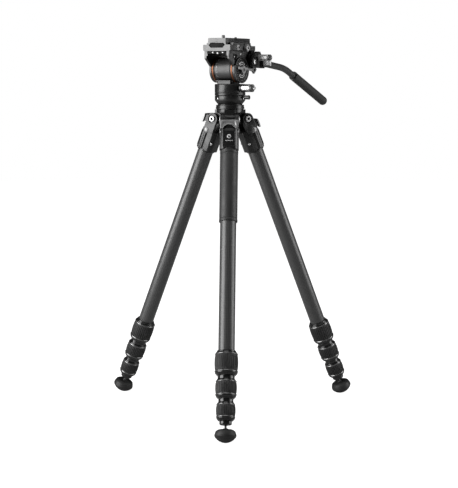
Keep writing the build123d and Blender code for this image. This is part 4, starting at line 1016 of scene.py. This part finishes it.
def bar_details():
    """The clamp's boss and screws, the barrel knob with its wing, and the rim at the grip's end."""
    knob = "bar_clamp_knob"
    _, rear, height = joint_place("bar_angle")
    outer = corners("bar_clamp", HEAD)[1].x
    boss = beside(outer - 5.3, rear - 17.5, height - 8.8)
    ring = [(5.6, 0), (5.6, 0.9), (8.6, 0.9), (9.2, 0.2), (9.2, 0)]
    lathe("bar_clamp_boss_ring", ring, boss, GLOSS, "bar_clamp", closed=True, corner=0.3)
    socket_screw("bar_clamp_boss_screw", 4.8, 2.0, boss, SILVER, "bar_clamp")
    for number, drop in enumerate((-5.5, 5.5)):
        socket_screw(f"bar_clamp_screw_{number + 1}", 2.2, 0.9,
                     beside(outer - 0.05, rear + 15.5, height - 10.7 + drop), GLOSS, "bar_clamp")
    high = corners(knob, HEAD)[1]
    radius, length, cap = 6.4, 23.3, 5.0
    end = high.x - length - cap
    barrel("bar_lock", beside(end, rear, height), radius, 0, length, cap, 0, knob)
    wing = [(-3.4, -16.6), (3.4, -16.6), (4.0, -5.0), (-4.0, -5.0)]
    shape = plate_mesh([rounded(wing, 2.6, True, 6)], 14.5, 1.3)
    add("bar_lock_wing", shape, beside(end + 12.4, rear, height), GREY, knob)
    tip = plate_mesh([rounded([(x * 0.8, -17.0 if y < -10 else y) for x, y in wing], 2.6, True, 6)], 1.0,
        0.3)
    add("bar_lock_wing_tip", tip, beside(end + 26.8, rear, height), SILVER, knob)
    middle, way = long_axis("bar_grip")
    here = place(middle, ACROSS, way)
    low, high = corners("bar_grip", here)
    bar = (corners("pan_bar", HEAD)[1].x - corners("pan_bar", HEAD)[0].x) / 2
    radius = high.x
    rim = [(bar + 0.1, low.z - 0.1), (bar + 0.1, low.z + 3), (radius + 0.12, low.z + 3),
           (radius + 0.12, low.z + 0.3), (radius - 0.4, low.z - 0.1)]
    lathe("bar_grip_rim", rim, here, BLACK, "bar_grip", closed=True, corner=0.3)


drum()
dial()
lever()
pan_knobs()
pan_screws()
cradle_details()
clamp_details()
front_painted_shade()
plate_details()
bar_details()



# ---------------------------------------------------------------- light, floor and camera
def area_light(name, azimuth, height, distance, width, tall, power, aim=0.5):
    """A softbox at an azimuth round the object, 0 in front and positive to the right."""
    angle = math.radians(azimuth)
    spot = Vector((math.sin(angle) * distance, -math.cos(angle) * distance, height))
    light = bpy.data.lights.new(name, "AREA")
    light.shape = "RECTANGLE"
    light.size, light.size_y = width, tall
    light.energy = power
    made = bpy.data.objects.new(name, light)
    made.location = spot
    made.rotation_euler = (Vector((0, 0, aim)) - spot).to_track_quat("-Z", "Y").to_euler()
    bpy.context.scene.collection.objects.link(made)


area_light("softbox_left", -66, 0.75, 1.9, 1.5, 2.3, 80)
area_light("softbox_right", 88, 0.75, 1.9, 1.1, 2.3, 34)
area_light("softbox_above", 0, 2.6, 0.5, 1.6, 1.6, 12)

world = bpy.data.worlds.new("studio")
world.use_nodes = True
bpy.context.scene.world = world
sky, out = world.node_tree.nodes["Background"], world.node_tree.nodes["World Output"]
sky.inputs["Color"].default_value = (1, 1, 1, 1)
sky.inputs["Strength"].default_value = 0.045
seen = world.node_tree.nodes.new("ShaderNodeBackground")
seen.inputs["Color"].default_value = (1, 1, 1, 1)
seen.inputs["Strength"].default_value = 1.0
rays = world.node_tree.nodes.new("ShaderNodeLightPath")
choice = world.node_tree.nodes.new("ShaderNodeMixShader")
world.node_tree.links.new(rays.outputs["Is Camera Ray"], choice.inputs[0])
world.node_tree.links.new(sky.outputs[0], choice.inputs[1])
world.node_tree.links.new(seen.outputs[0], choice.inputs[2])
world.node_tree.links.new(choice.outputs[0], out.inputs["Surface"])

floor_paint = Paint("pale_floor", "floor", 0.0, 0.1)
floor_paint.colour(floor_paint.between(floor_paint.grain(2.0), grey(0.40), grey(0.43)))
floor_paint.roughness(floor_paint.spread(floor_paint.grain(3.0), 0.8, 0.9))
floor_paint.shader.inputs["Emission Color"].default_value = (1, 1, 1, 1)
far = floor_paint.node("ShaderNodeVectorMath", floor_paint.coordinates, operation="LENGTH").outputs["Value"]
glow = floor_paint.spread(far, 0.93, 1.1, 0.2, 1.4)
seen_floor = floor_paint.node("ShaderNodeLightPath").outputs["Is Camera Ray"]
dimmed = floor_paint.math("MULTIPLY", glow, floor_paint.spread(seen_floor, 0.05, 1.0, 0.0, 1.0))
floor_paint.tree.links.new(dimmed, floor_paint.shader.inputs["Emission Strength"])
floor_mesh = lathe_mesh([(0, 0), (6000, 0)], 96, False)
floor_mesh.materials.append(floor_paint.material)
floor = bpy.data.objects.new("floor", floor_mesh)
floor.location = (0, 0, cad_box[0].z - 0.0002)
bpy.context.scene.collection.objects.link(floor)

bpy.context.scene.view_settings.view_transform = "Standard"
bpy.context.scene.view_settings.look = "None"

CAMERA_TILT = 0.12805
CAMERA_TURN = 0.03253
camera_data = bpy.data.cameras.new("camera")
camera_data.lens = 98.76
camera_data.clip_end = 50
camera = bpy.data.objects.new("camera", camera_data)
camera.location = (0.08723, -2.74879, 0.69979)
camera.rotation_euler = (math.pi / 2 - CAMERA_TILT, 0, CAMERA_TURN)
bpy.context.scene.collection.objects.link(camera)
bpy.context.scene.camera = camera
